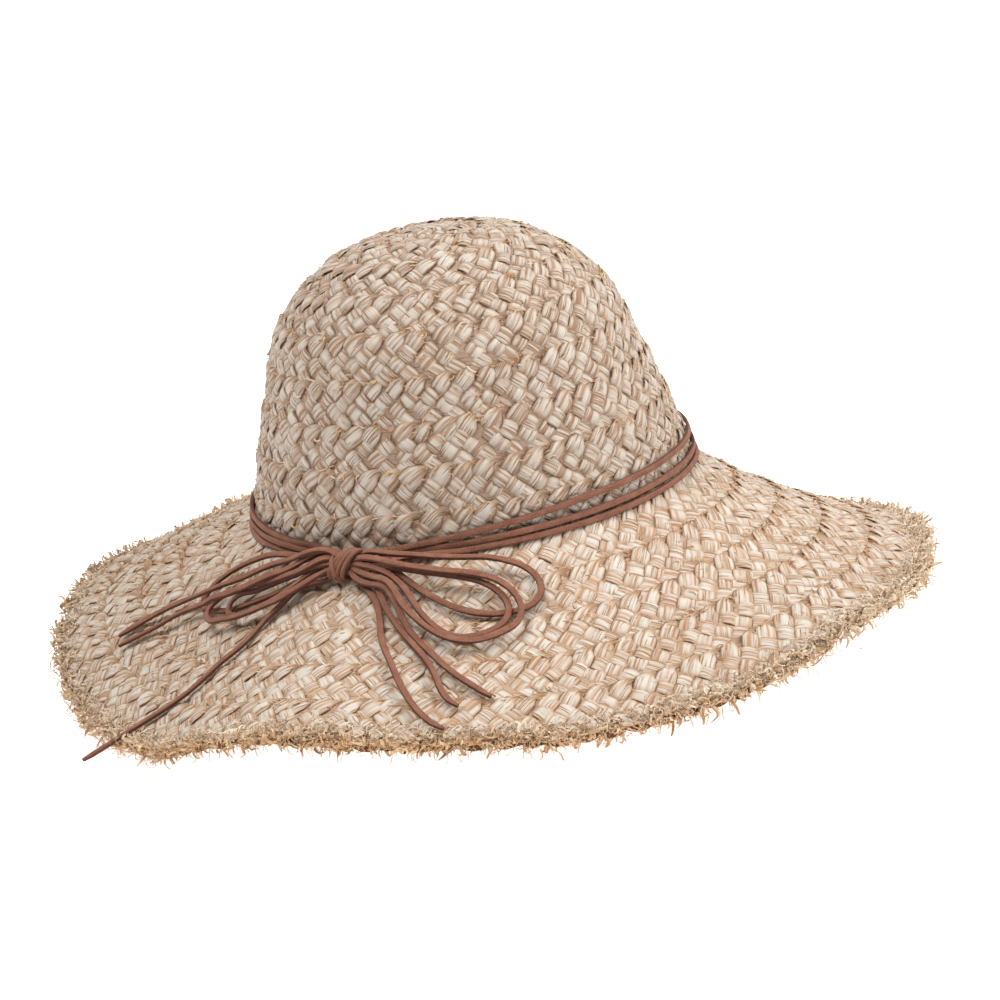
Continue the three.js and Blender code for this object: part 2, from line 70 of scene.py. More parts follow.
def series(c, ph):
    s = np.full_like(ph, c[0])
    for k in range(1, (len(c) - 1) // 2 + 1):
        s = s + c[2 * k - 1] * np.cos(k * ph) + c[2 * k] * np.sin(k * ph)
    return s


NPHI = 1081
A_LO, A_STEP = -140.0, 0.5
NA = int((CROWN_ARC - A_LO) / A_STEP) + 1


def make_grid():
    ph = np.linspace(0, TAU, NPHI)
    a = A_LO + A_STEP * np.arange(NA)
    up = np.clip(a, 0, CROWN_ARC)
    t = np.linspace(0, CROWN_ARC, len(PROFILE))
    r = np.interp(up, t, PROFILE[:, 0])
    z = np.interp(up, t, PROFILE[:, 1])
    cx, cy = np.cos(ph), np.sin(ph)
    nx, ny = cx / OVAL_X, cy / OVAL_Y
    q = np.hypot(nx, ny)
    nx, ny = nx / q, ny / q
    dro, ease = np.radians(series(DROOP, ph)), np.radians(series(EASE, ph))
    n_out = int(round(-A_LO / A_STEP))
    s = (np.arange(n_out) + 0.5) * A_STEP
    ang = dro[:, None] + ease[:, None] * (1 - 2 * s[None] / BRIM_W)
    # the soft brim's edge undulates a little
    wav = 1.6 * np.sin(5 * ph + 0.6) + 1.1 * np.sin(9 * ph + 2.0) + 0.8 * np.sin(13 * ph + 4.4)
    out = np.cumsum(np.cos(ang) * A_STEP, 1)
    dn = np.cumsum(np.sin(ang) * A_STEP, 1)
    dn = dn - wav[:, None] * (s[None] / BRIM_W) ** 3
    zero = np.zeros((NPHI, 1))
    out = np.hstack([out[:, ::-1], zero])
    dn = np.hstack([dn[:, ::-1], zero])
    m = NA - out.shape[1]
    out = np.hstack([out, np.zeros((NPHI, m))])
    dn = np.hstack([dn, np.zeros((NPHI, m))])
    P = np.stack([
        r[None] * OVAL_X * cx[:, None] + LEAN * z[None] + out * nx[:, None],
        r[None] * OVAL_Y * cy[:, None] + out * ny[:, None],
        z[None] - dn], -1)
    # smooth along the slope, most of all at the bend between crown and brim
    def smooth(Q, sig):
        k = int(3 * sig / A_STEP)
        w = np.exp(-0.5 * (np.arange(-k, k + 1) * A_STEP / sig) ** 2)
        w /= w.sum()
        pad = np.concatenate([np.repeat(Q[:, :1], k, 1), Q, np.repeat(Q[:, -1:], k, 1)], 1)
        return sum(w[i] * pad[:, i:i + Q.shape[1]] for i in range(2 * k + 1))
    near = np.exp(-(a / 8.0) ** 2)[None, :, None]
    P = P * (1 - near) + smooth(P, 2.6) * near
    top = np.clip((CROWN_ARC - a) / 6.0, 0, 1)[None, :, None]
    fine = smooth(P, 2.0)
    inner = ((a > 4) & (a < CROWN_ARC - 8))[None, :, None]
    P = np.where(inner, fine, P)
    dphi = np.empty_like(P)
    dphi[1:-1] = P[2:] - P[:-2]
    dphi[0] = dphi[-1] = P[1] - P[-2]
    da = np.empty_like(P)
    da[:, 1:-1] = P[:, 2:] - P[:, :-2]
    da[:, 0] = da[:, 1]
    da[:, -1] = da[:, -2]
    N = np.cross(dphi, da)
    N[:, -3:] = (0, 0, 1)
    N /= np.linalg.norm(N, axis=-1, keepdims=True) + 1e-12
    return P, N


GRID_P, GRID_N = make_grid()


def sample(G, ph, a):
    x = (np.mod(ph, TAU)) / TAU * (NPHI - 1)
    y = np.clip((a - A_LO) / A_STEP, 0, NA - 1.001)
    i, j = np.minimum(x.astype(int), NPHI - 2), y.astype(int)
    fx, fy = (x - i)[..., None], (y - j)[..., None]
    return ((G[i, j] * (1 - fx) + G[i + 1, j] * fx) * (1 - fy)
            + (G[i, j + 1] * (1 - fx) + G[i + 1, j + 1] * fx) * fy)


def place(ph, a, h):
    """Points of the hat at angle ph, distance a along the straw and height h over it."""
    return sample(GRID_P, ph, a) + sample(GRID_N, ph, a) * h[..., None]


# ------------------------------------------------------------------- camera
def make_camera():
    e, roll, dist, f = math.radians(15.642), math.radians(9.4146), 1.29479, 2922.24
    pos = Vector((0, -dist * math.cos(e), dist * math.sin(e)))
    fwd = -pos.normalized()
    right = Vector((1, 0, 0))
    up = right.cross(fwd)
    c, s = math.cos(roll), math.sin(roll)
    rc, uc = right * c - up * s, right * s + up * c
    m = Matrix((
        (rc.x, uc.x, -fwd.x, pos.x), (rc.y, uc.y, -fwd.y, pos.y), (rc.z, uc.z, -fwd.z, pos.z), (0, 0, 0, 1)))
    data = bpy.data.cameras.new("camera")
    data.sensor_width = 36
    data.lens = f / 1000 * 36
    data.shift_x = (500 - 474.61) / 1000
    data.shift_y = (487.47 - 500) / 1000
    data.clip_end = 100
    cam = bpy.data.objects.new("camera", data)
    cam.matrix_world = m
    bpy.context.collection.objects.link(cam)
    bpy.context.scene.camera = cam


make_camera()


# ------------------------------------------------------------------- meshes
def new_object(name, verts, faces_list, material, attrs=None, smooth=True, uvs=None):
    """verts (n,3) in metres; faces_list is a list of (m,k) index arrays."""
    mesh = bpy.data.meshes.new(name)
    counts = np.concatenate([np.full(len(f), f.shape[1]) for f in faces_list])
    loops = np.concatenate([f.reshape(-1) for f in faces_list])
    starts = np.concatenate([[0], np.cumsum(counts)[:-1]])
    mesh.vertices.add(len(verts))
    mesh.vertices.foreach_set("co", np.ascontiguousarray(verts, dtype=np.float32).reshape(-1))
    mesh.loops.add(len(loops))
    mesh.loops.foreach_set("vertex_index", loops.astype(np.int32))
    mesh.polygons.add(len(counts))
    mesh.polygons.foreach_set("loop_start", starts.astype(np.int32))
    mesh.polygons.foreach_set("loop_total", counts.astype(np.int32))
    mesh.polygons.foreach_set("use_smooth", np.full(len(counts), smooth))
    mesh.update(calc_edges=True)
    for key, val in (attrs or {}).items():
        if val.ndim == 1:
            at = mesh.attributes.new(key, "FLOAT", "POINT")
            at.data.foreach_set("value", val.astype(np.float32))
        else:
            at = mesh.attributes.new(key, "FLOAT_VECTOR", "POINT")
            at.data.foreach_set("vector", np.ascontiguousarray(val, dtype=np.float32).reshape(-1))
    if uvs is not None:
        layer = mesh.uv_layers.new(name="OFBake")
        flat = np.concatenate([np.asarray(x, dtype=np.float32).reshape(-1, 2) for x in uvs])
        layer.uv.foreach_set("vector", np.ascontiguousarray(flat).reshape(-1))
    mesh.materials.append(material)
    obj = bpy.data.objects.new(name, mesh)
    bpy.context.collection.objects.link(obj)
    return obj


def strip_faces(base, n, m, closed):
    """Quads of n rings of m points each, the ring closed, joined end to end or left open."""
    i = np.arange(n if closed else n - 1)
    j = np.arange(m)
    I, J = np.meshgrid(i, j, indexing="ij")
    I2, J2 = (I + 1) % n, (J + 1) % m
    q = np.stack([I * m + J, I * m + J2, I2 * m + J2, I2 * m + J], -1).reshape(-1, 4) + base
    return q


def strip_uvs(n, m, closed, first, total, rows):
    """The same quads laid out flat: rings first.. of a strip `total` rings long, cut into rows."""
    I, J = np.meshgrid(np.arange(n if closed else n - 1), np.arange(m), indexing="ij")
    per = -(-total // rows)
    g = I + first
    row = g // per
    x0 = (g - row * per) / per * 0.998 + 0.001
    x1 = x0 + 0.998 / per
    y0 = (row + 0.05 + 0.9 * J / m) / rows
    y1 = y0 + 0.9 / m / rows
    return np.stack([np.stack([x0, y0], -1), np.stack([x0, y1], -1), np.stack([x1, y1], -1), np.stack([x1, y0], -1)], 2).reshape(-1, 4, 2)


def periodic_noise(n_cells, length, rng, u):
    """Smooth noise over u in [0, length), wrapping, with n_cells random knots."""
    k = rng.standard_normal(n_cells)
    x = u / length * n_cells
    i = np.floor(x).astype(int)
    f = x - i
    f = f * f * (3 - 2 * f)
    return k[i % n_cells] * (1 - f) + k[(i + 1) % n_cells] * f


CROSS_TOP = np.array([-1.0, -0.88, -0.66, -0.44, -0.22, 0.0, 0.22, 0.44, 0.66, 0.88, 1.0])
CROSS_BOT = np.array([0.55, -0.55])
GROOVES = np.array([-0.66, -0.22, 0.22, 0.44])


def braid(name, node, centre, pitch, rng, material, period=52.0, inner=None, h0=-1.50, relief=1.0):
    """One sewn turn of five-strand plait round the hat, centred at distance `centre`."""
    ph_t = np.linspace(0, TAU, 2001)
    mid = sample(GRID_P, ph_t, np.full_like(ph_t, centre))
    du = np.linalg.norm(np.diff(mid, axis=0), axis=1)
    u_t = np.concatenate([[0], np.cumsum(du)])
    circ = u_t[-1]
    periods = max(2, int(round(circ / period)))
    P = circ / periods
    NS = 5
    half = pitch / 2 + 1.5
    A = 2 * half
    dv = A / NS
    n = max(60, int(circ / 1.25))
    u = np.arange(n) * circ / n
    phase0 = rng.random()
    wave = 0.5 * periodic_noise(max(5, int(circ / 60)), circ, rng, u)
    wob = 0.40 * periodic_noise(max(6, int(circ / 25)), circ, rng, u)
    all_v, all_f, all_uv, a_fib, a_tone, a_painted_shade, a_groove_shade = [], [], [], [], [], [], []
    base = 0
    uv_rows = max(4, int(round(math.sqrt(6 * n * 1.25 / 13.0))))
    mtop, mbot = len(CROSS_TOP), len(CROSS_BOT)
    m = mtop + mbot
    for k in range(NS):
        p = np.mod(u / P + k / NS + phase0, 1.0)
        jit = 0.022 * periodic_noise(periods * 3, circ, rng, u)
        sn = np.sin(TAU * (p + jit))
        cs = np.cos(TAU * (p + jit))
        lim = 0.955
        v = np.arcsin(lim * sn) / math.asin(lim) * half
        q = (v + half) / dv
        asc = cs > 0
        hmid_a, hmid_d = np.cos(math.pi * q), -np.cos(math.pi * q)
        up_a, up_d = np.cos(0.5 * math.pi * (q - 4)), -np.cos(0.5 * math.pi * (q - 4))
        lo_a, lo_d = -np.sin(0.5 * math.pi * q), np.sin(0.5 * math.pi * q)
        h = np.where(q > 4, np.where(asc, up_a, up_d), np.where(q < 1, np.where(asc, lo_a, lo_d), np.where(asc, hmid_a, hmid_d)))
        h = np.sign(h) * np.abs(h) ** 0.85
        hh = h * relief * (0.92 + 0.10 * periodic_noise(periods * 2, circ, rng, u))
        edge = np.clip((np.abs(v) / half - 0.74) / 0.26, 0, 1)
        edge = edge * edge * (3 - 2 * edge)
        width = (P / NS * math.sin(math.atan2(A, P / 2)) * 1.25)
        width = width * (1 + 0.11 * periodic_noise(periods * 4, circ, rng, u)) * (1 - 0.42 * edge)
        width = np.clip(width, 1.8, 10.5)
        # direction of travel in the flat plait
        un, vn = u, v
        du_ = np.full(n, circ / n)
        dv_ = np.roll(v, -1) - np.roll(v, 1)
        du_ = 2 * du_
        ll = np.hypot(du_, dv_)
        tx, ty = du_ / ll, dv_ / ll
        nx, ny = -ty, tx
        # cross-section: a rounded strand with a few lengthwise creases
        bul = (0.28 + 0.44 * relief) * (1 + 0.22 * periodic_noise(periods * 5, circ, rng, u))
        c = CROSS_TOP[None, :]
        ht = bul[:, None] * (1 - np.abs(c) ** 2.4)
        groove = np.zeros((n, mtop))
        for g in GROOVES:
            deepg = np.clip(0.5 + 0.75 * periodic_noise(periods * 3, circ, rng, u), 0, 1.6)
            drift = g + 0.10 * periodic_noise(periods * 2, circ, rng, u)
            groove += deepg[:, None] * np.exp(-((c - drift[:, None]) / 0.115) ** 2)
        ht = ht - 0.30 * groove * (1 - np.abs(c) ** 6)
        facet = np.stack([periodic_noise(periods * 5, circ, rng, u) * 0.07 for _ in range(mtop)], 1)
        twist = 0.16 * periodic_noise(periods * 3, circ, rng, u)[:, None] * c
        ht = ht * (1 - 0.15 * edge[:, None]) + twist + facet
        cc = np.concatenate([np.repeat(c, n, 0), np.repeat(CROSS_BOT[None], n, 0)], 1)
        hb = np.stack([np.full(n, -0.42), np.full(n, -0.42)], 1) + 0.25 * bul[:, None]
        hs = np.concatenate([ht, hb], 1)
        lat = cc * width[:, None] / 2
        U = u[:, None] + nx[:, None] * lat
        V = v[:, None] + ny[:, None] * lat
        lift = 0.62 * V / half
        Hh = h0 + hh[:, None] + lift + hs + 0.10 * wave[:, None]
        fold = np.clip((np.abs(V) - (half + 0.4)) / 1.6, 0, 1)
        Hh = Hh - 0.9 * fold
        ph = np.interp(np.mod(U, circ), u_t, ph_t)
        aa = centre + V + wob[:, None]
        if inner is not None:
            # towards the middle of the crown's top the plait is drawn together
            d = CROWN_ARC - aa
            d0 = CROWN_ARC - centre
            d = np.where(d < d0, d0 - (d0 - inner) * np.clip((d0 - d) / (half + 0.6), 0, 1), d)
            aa = CROWN_ARC - d
        pts = place(ph, aa, Hh)
        all_v.append(pts.reshape(-1, 3))
        all_f.append(strip_faces(base, n, m, True)[:, ::-1])
        all_uv.append(strip_uvs(n, m, True, k * n, 6 * n, uv_rows)[:, ::-1])
        s_len = np.concatenate([[0], np.cumsum(np.hypot(np.diff(u), np.diff(v)))])
        fib = np.stack([np.repeat(s_len[:, None], m, 1) + 500.0 * k, cc * width[:, None] / 2,
                        np.full((n, m), 3.7 * k + 11 * rng.random())], -1)
        a_fib.append(fib.reshape(-1, 3))
        tone = 0.5 + 0.07 * rng.standard_normal() + 0.12 * periodic_noise(periods * 2, circ, rng, u)
        tone = np.repeat(tone[:, None], m, 1)
        a_tone.append(np.clip(tone, 0, 1).reshape(-1))
        # painted shade: how deep a point lies, darker under a crossing, at a strand's rim and near the row's edges
        deep = np.clip((0.60 - h[:, None]) / 1.2, 0, 1) * 0.78 + 0.85 * np.clip((np.abs(cc) - 0.64) / 0.36, 0, 1) ** 1.4
        deep = deep + 0.20 * edge[:, None]
        # painted shadow along the row's lower edge, where it tucks under the next row
        seam_shadow = np.clip((-V / half - 0.66) / 0.34, 0, 1)
        deep = deep + 0.50 * seam_shadow
        # painted shade in each strand's lengthwise grooves
        groove_shade = np.zeros((n, m))
        groove_shade[:, :mtop] = np.clip(groove, 0, 1)
        a_groove_shade.append(groove_shade.reshape(-1))
        # painted shade on the strands' undersides
        under = np.clip((0.60 + h) / 1.2, 0, 1) * 0.60 + 0.15 * edge - 0.2
        deep[:, mtop:] = under[:, None] + 0.2
        a_painted_shade.append(np.clip(deep, 0, 1).reshape(-1))
        base += n * m
    # the plait's core: the inner fibres that close the openings between the strands, darkened with painted shade
    nc = n // 2
    uc = np.arange(nc) * circ / nc
    x = np.linspace(-1, 1, 7)
    cv = np.concatenate([x, x[::-1]])
    mc = len(cv)
    V = cv[None] * (pitch / 2 + 0.9) + np.zeros((nc, mc))
    Hh = h0 + 0.20 + 0.35 * cv[None] + np.where(np.arange(mc) < 7, 0.13, -0.13)[None] + np.zeros((nc, mc))
    ph = np.repeat(np.interp(uc, u_t, ph_t)[:, None], mc, 1)
    aa = centre + V
    if inner is not None:
        aa = CROWN_ARC - np.maximum(CROWN_ARC - aa, inner)
    all_v.append(place(ph, aa, Hh).reshape(-1, 3))
    all_f.append(strip_faces(base, nc, mc, True)[:, ::-1])
    all_uv.append(strip_uvs(nc, mc, True, 5 * n, 6 * n, uv_rows)[:, ::-1])
    a_fib.append(np.stack([np.repeat(uc[:, None], mc, 1), V, np.full((nc, mc), 91.0)], -1).reshape(-1, 3))
    a_tone.append(np.full(mc * nc, 0.35))
    # painted shade over the whole core, so the openings read as shadowed
    a_painted_shade.append(np.full(mc * nc, 0.50))
    a_groove_shade.append(np.zeros(mc * nc))
    verts = np.concatenate(all_v) * MM
    obj = new_object(name, verts, all_f, material,
                     {"fib": np.concatenate(a_fib), "tone": np.concatenate(a_tone), "painted_shade": np.concatenate(a_painted_shade),
                      "groove_shade": np.concatenate(a_groove_shade)},
                     uvs=all_uv)
    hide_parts(node)
    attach(obj, "hat")
    return obj


# ---------------------------------------------------------------- materials
def nodes_of(name):
    mat = bpy.data.materials.new(name)
    mat.use_nodes = True
    nt = mat.node_tree
    nt.nodes.clear()
    out = nt.nodes.new("ShaderNodeOutputMaterial")
    bsdf = nt.nodes.new("ShaderNodeBsdfPrincipled")
    nt.links.new(bsdf.outputs[0], out.inputs[0])
    return mat, nt, bsdf


def node(nt, kind, **inputs):
    n = nt.nodes.new(kind)
    for k, val in inputs.items():
        n.inputs[k].default_value = val
    return n


def attr(nt, name, out="Fac"):
    n = nt.nodes.new("ShaderNodeAttribute")
    n.attribute_name = name
    return n.outputs[out]


def mapping(nt, vec, scale, loc=(0, 0, 0)):
    n = nt.nodes.new("ShaderNodeMapping")
    n.inputs["Scale"].default_value = scale
    n.inputs["Location"].default_value = loc
    nt.links.new(vec, n.inputs["Vector"])
    return n.outputs[0]


def noise(nt, vec, scale, detail=3.0, rough=0.55, lac=2.0):
    n = nt.nodes.new("ShaderNodeTexNoise")
    n.inputs["Scale"].default_value = scale
    n.inputs["Detail"].default_value = detail
    n.inputs["Roughness"].default_value = rough
    n.inputs["Lacunarity"].default_value = lac
    nt.links.new(vec, n.inputs["Vector"])
    return n.outputs["Fac"]


def ramp(nt, fac, stops):
    n = nt.nodes.new("ShaderNodeValToRGB")
    el = n.color_ramp.elements
    while len(el) < len(stops):
        el.new(0.5)
    for e, (pos, col) in zip(el, stops):
        e.position = pos
        e.color = (*col, 1)
    nt.links.new(fac, n.inputs[0])
    return n.outputs[0]


def mix(nt, fac, a, b, blend="MIX"):
    n = nt.nodes.new("ShaderNodeMix")
    n.data_type = "RGBA"
    n.blend_type = blend
    n.clamp_factor = True
    for sock, val in ((n.inputs[0], fac), (n.inputs[6], a), (n.inputs[7], b)):
        if isinstance(val, (int, float)):
            sock.default_value = val
        elif isinstance(val, tuple):
            sock.default_value = (*val, 1)
        else:
            nt.links.new(val, sock)
    return n.outputs[2]


def math_node(nt, op, a, b=None, clamp=False):
    n = nt.nodes.new("ShaderNodeMath")
    n.operation = op
    n.use_clamp = clamp
    for sock, val in ((n.inputs[0], a), (n.inputs[1], b)):
        if val is None:
            continue
        if isinstance(val, (int, float)):
            sock.default_value = val
        else:
            nt.links.new(val, sock)
    return n.outputs[0]


def bump(nt, height, strength, dist, bsdf, normal=None):
    n = nt.nodes.new("ShaderNodeBump")
    n.inputs["Strength"].default_value = strength
    n.inputs["Distance"].default_value = dist
    nt.links.new(height, n.inputs["Height"])
    if normal is not None:
        nt.links.new(normal, n.inputs["Normal"])
    return n.outputs[0]


def raffia_material(name, light, mid, dark, shade, rim, gold, gold_amount, pale=None, painted_warm_shade=(0.55, 0.35, 0.19)):
    mat, nt, bsdf = nodes_of(name)
    fib = attr(nt, "fib", "Vector")
    tone, painted_shade = attr(nt, "tone"), attr(nt, "painted_shade")
    # fibres run along the strand: long, narrow cells across it
    fine = noise(nt, mapping(nt, fib, (0.10, 3.2, 1.0)), 1.0, 3, 0.6)
    crease = noise(nt, mapping(nt, fib, (0.075, 1.40, 1.0), (3, 5, 8)), 1.0, 2, 0.50)
    broad = noise(nt, mapping(nt, fib, (0.05, 0.5, 1.0), (7, 3, 1)), 1.0, 3, 0.5)
    blot = noise(nt, mapping(nt, fib, (0.05, 0.16, 1.0), (1, 9, 4)), 1.0, 2, 0.5)
    f1 = math_node(nt, "MULTIPLY", fine, 0.48)
    f2 = math_node(nt, "MULTIPLY", tone, 0.34)
    f3 = math_node(nt, "MULTIPLY", crease, 0.18)
    base = ramp(nt, math_node(nt, "ADD", math_node(nt, "ADD", f1, f2), f3, True), [(0.24, dark), (0.43, mid), (0.62, light)])
    col = mix(nt, math_node(nt, "MULTIPLY", ramp(nt, broad, [(0.52, (0, 0, 0)), (0.70, (1, 1, 1))]), gold_amount), base, gold)
    col = mix(nt, math_node(nt, "MULTIPLY", ramp(nt, blot, [(0.55, (0, 0, 0)), (0.75, (1, 1, 1))]), 0.35), col, light)
    if pale is not None:
        col = mix(nt, math_node(nt, "MULTIPLY", attr(nt, "pale"), 0.85), col, pale)
    # dark lines: fibre lines from noise, the raffia's own colour, and painted shade in the strands' grooves
    line = ramp(nt, crease, [(0.375, (1, 1, 1)), (0.415, (0, 0, 0))])
    col = mix(nt, math_node(nt, "MULTIPLY", math_node(nt, "MAXIMUM", line, attr(nt, "groove_shade")), 0.85), col, rim)
    col = mix(nt, math_node(nt, "MULTIPLY", ramp(nt, fine, [(0.32, (1, 1, 1)), (0.41, (0, 0, 0))]), 0.50), col, rim)
    # painted shade: warm brown where a strand turns down at its edges or dips under another, dark brown painted shadow
    # in the gaps
    col = mix(nt, math_node(nt, "MULTIPLY", ramp(nt, painted_shade, [(0.08, (0, 0, 0)), (0.42, (1, 1, 1))]), 0.50), col, painted_warm_shade)
    deep = math_node(nt, "POWER", painted_shade, 1.35)
    col = mix(nt, math_node(nt, "MULTIPLY", deep, 1.0, True), col, shade)
    nt.links.new(col, bsdf.inputs["Base Color"])
    rough = ramp(nt, fine, [(0.3, (0.74, 0.74, 0.74)), (0.7, (0.52, 0.52, 0.52))])
    nt.links.new(rough, bsdf.inputs["Roughness"])
    bsdf.inputs["Specular IOR Level"].default_value = 0.36
    bsdf.inputs["Sheen Weight"].default_value = 0.05
    bsdf.inputs["Sheen Roughness"].default_value = 0.5
    b1 = bump(nt, fine, 0.45, 0.00030, bsdf)
    b2 = bump(nt, ramp(nt, crease, [(0.30, (0, 0, 0)), (0.48, (1, 1, 1))]), 0.85, 0.00045, bsdf, b1)
    nt.links.new(b2, bsdf.inputs["Normal"])
    return mat


RAFFIA = raffia_material("raffia", (0.585, 0.544, 0.487), (0.563, 0.510, 0.439), (0.525, 0.450, 0.358), (0.19, 0.070, 0.020),
                         (0.37, 0.165, 0.052), (0.62, 0.455, 0.275), 0.27, painted_warm_shade=(0.57, 0.35, 0.175))
# the crown's raffia: a darker, browner copy of the brim's, painted shade on the whole crown
RAFFIA_CROWN_SHADED = raffia_material("raffia_crown", (0.535, 0.485, 0.430), (0.512, 0.453, 0.386), (0.480, 0.402, 0.316), (0.13, 0.048, 0.015),
                               (0.27, 0.122, 0.042), (0.56, 0.42, 0.265), 0.20, painted_warm_shade=(0.46, 0.285, 0.15))
FRAY = raffia_material("raffia_fringe", (0.61, 0.435, 0.272), (0.545, 0.338, 0.166), (0.445, 0.226, 0.080), (0.30, 0.100, 0.025),
                       (0.42, 0.170, 0.046), (0.68, 0.375, 0.135), 0.5, pale=(0.75, 0.645, 0.505))


def suede_material():
    mat, nt, bsdf = nodes_of("suede")
    fib = attr(nt, "fib", "Vector")
    nap = noise(nt, mapping(nt, fib, (3.0, 3.0, 3.0)), 1.0, 5, 0.68)
    patch = noise(nt, mapping(nt, fib, (0.14, 0.5, 0.5), (3, 1, 7)), 1.0, 3, 0.5)
    col = ramp(nt, nap, [(0.30, (0.098, 0.036, 0.021)), (0.50, (0.187, 0.078, 0.049)), (0.70, (0.315, 0.147, 0.097))])
    col = mix(nt, math_node(nt, "MULTIPLY", ramp(nt, patch, [(0.42, (0, 0, 0)), (0.68, (1, 1, 1))]), 0.40), col, (0.33, 0.155, 0.10))
    # painted shade: the lace's sides and underside are darkened
    painted_shade = attr(nt, "painted_shade")
    col = mix(nt, math_node(nt, "MULTIPLY", painted_shade, 0.80), col, (0.060, 0.021, 0.013))
    nt.links.new(col, bsdf.inputs["Base Color"])
    bsdf.inputs["Roughness"].default_value = 0.93
    bsdf.inputs["Specular IOR Level"].default_value = 0.2
    bsdf.inputs["Sheen Weight"].default_value = 0.22
    bsdf.inputs["Sheen Roughness"].default_value = 0.45
    bsdf.inputs["Sheen Tint"].default_value = (0.75, 0.50, 0.40, 1)
    nt.links.new(bump(nt, nap, 0.5, 0.00025, bsdf), bsdf.inputs["Normal"])
    return mat


SUEDE = suede_material()


def cloth_material():
    mat, nt, bsdf = nodes_of("sweatband_cloth")
    fib = attr(nt, "fib", "Vector")
    w = nt.nodes.new("ShaderNodeTexWave")
    w.wave_type = "BANDS"
    w.bands_direction = "X"
    w.wave_profile = "SIN"
    w.inputs["Scale"].default_value = 1.0
    w.inputs["Distortion"].default_value = 0.6
    w.inputs["Detail"].default_value = 1.5
    nt.links.new(mapping(nt, fib, (0.35, 0.02, 1)), w.inputs["Vector"])
    yarn = noise(nt, mapping(nt, fib, (1.4, 1.1, 1)), 1.0, 4, 0.6)
    stain = noise(nt, mapping(nt, fib, (0.02, 0.05, 1)), 1.0, 3, 0.5)
    col = ramp(nt, yarn, [(0.3, (0.62, 0.54, 0.43)), (0.6, (0.79, 0.72, 0.60)), (0.8, (0.86, 0.80, 0.70))])
    col = mix(nt, math_node(nt, "MULTIPLY", ramp(nt, stain, [(0.5, (0, 0, 0)), (0.75, (1, 1, 1))]), 0.25), col, (0.62, 0.50, 0.36))
    nt.links.new(col, bsdf.inputs["Base Color"])
    bsdf.inputs["Roughness"].default_value = 0.9
    bsdf.inputs["Sheen Weight"].default_value = 0.2
    b1 = bump(nt, w.outputs["Fac"], 0.6, 0.0004, bsdf)
    b2 = bump(nt, yarn, 0.4, 0.0002, bsdf, b1)
    nt.links.new(b2, bsdf.inputs["Normal"])
    return mat


CLOTH = cloth_material()

# ------------------------------------------------------------- straw rows
CROWN_SEAMS = [15.5 + 19 * i for i in range(8)]


def straw():
    seeds = np.random.SeedSequence(77).spawn(20)
    i = 0
    tip_lo = CROWN_SEAMS[-1]
    # the coil in the middle of the crown's top
    d_out = CROWN_ARC - tip_lo
    braid("raffia_tip_coil", "crown_tip", CROWN_ARC - d_out * 0.58, d_out * 0.84, np.random.default_rng(seeds[i]), RAFFIA_CROWN_SHADED,
          period=46, inner=2.2)
    for k in range(8):
        i += 1
        hi = CROWN_SEAMS[7 - k]
        lo = 0.0 if k == 7 else CROWN_SEAMS[6 - k]
        if k == 7:
            lo, hi = -1.0, hi
        braid("raffia_crown_%d" % (k + 1), "crown_row_%d" % (k + 1), (hi + lo) / 2, hi - lo, np.random.default_rng(seeds[i]), RAFFIA_CROWN_SHADED, relief=1.12)
    for k in range(5):
        i += 1
        hi, lo = -21.0 * k, -21.0 * (k + 1)
        braid("raffia_brim_%d" % (k + 1), "brim_row_%d" % (k + 1), (hi + lo) / 2, 21.0, np.random.default_rng(seeds[i]), RAFFIA, period=52, h0=-1.30, relief=0.80)


straw()


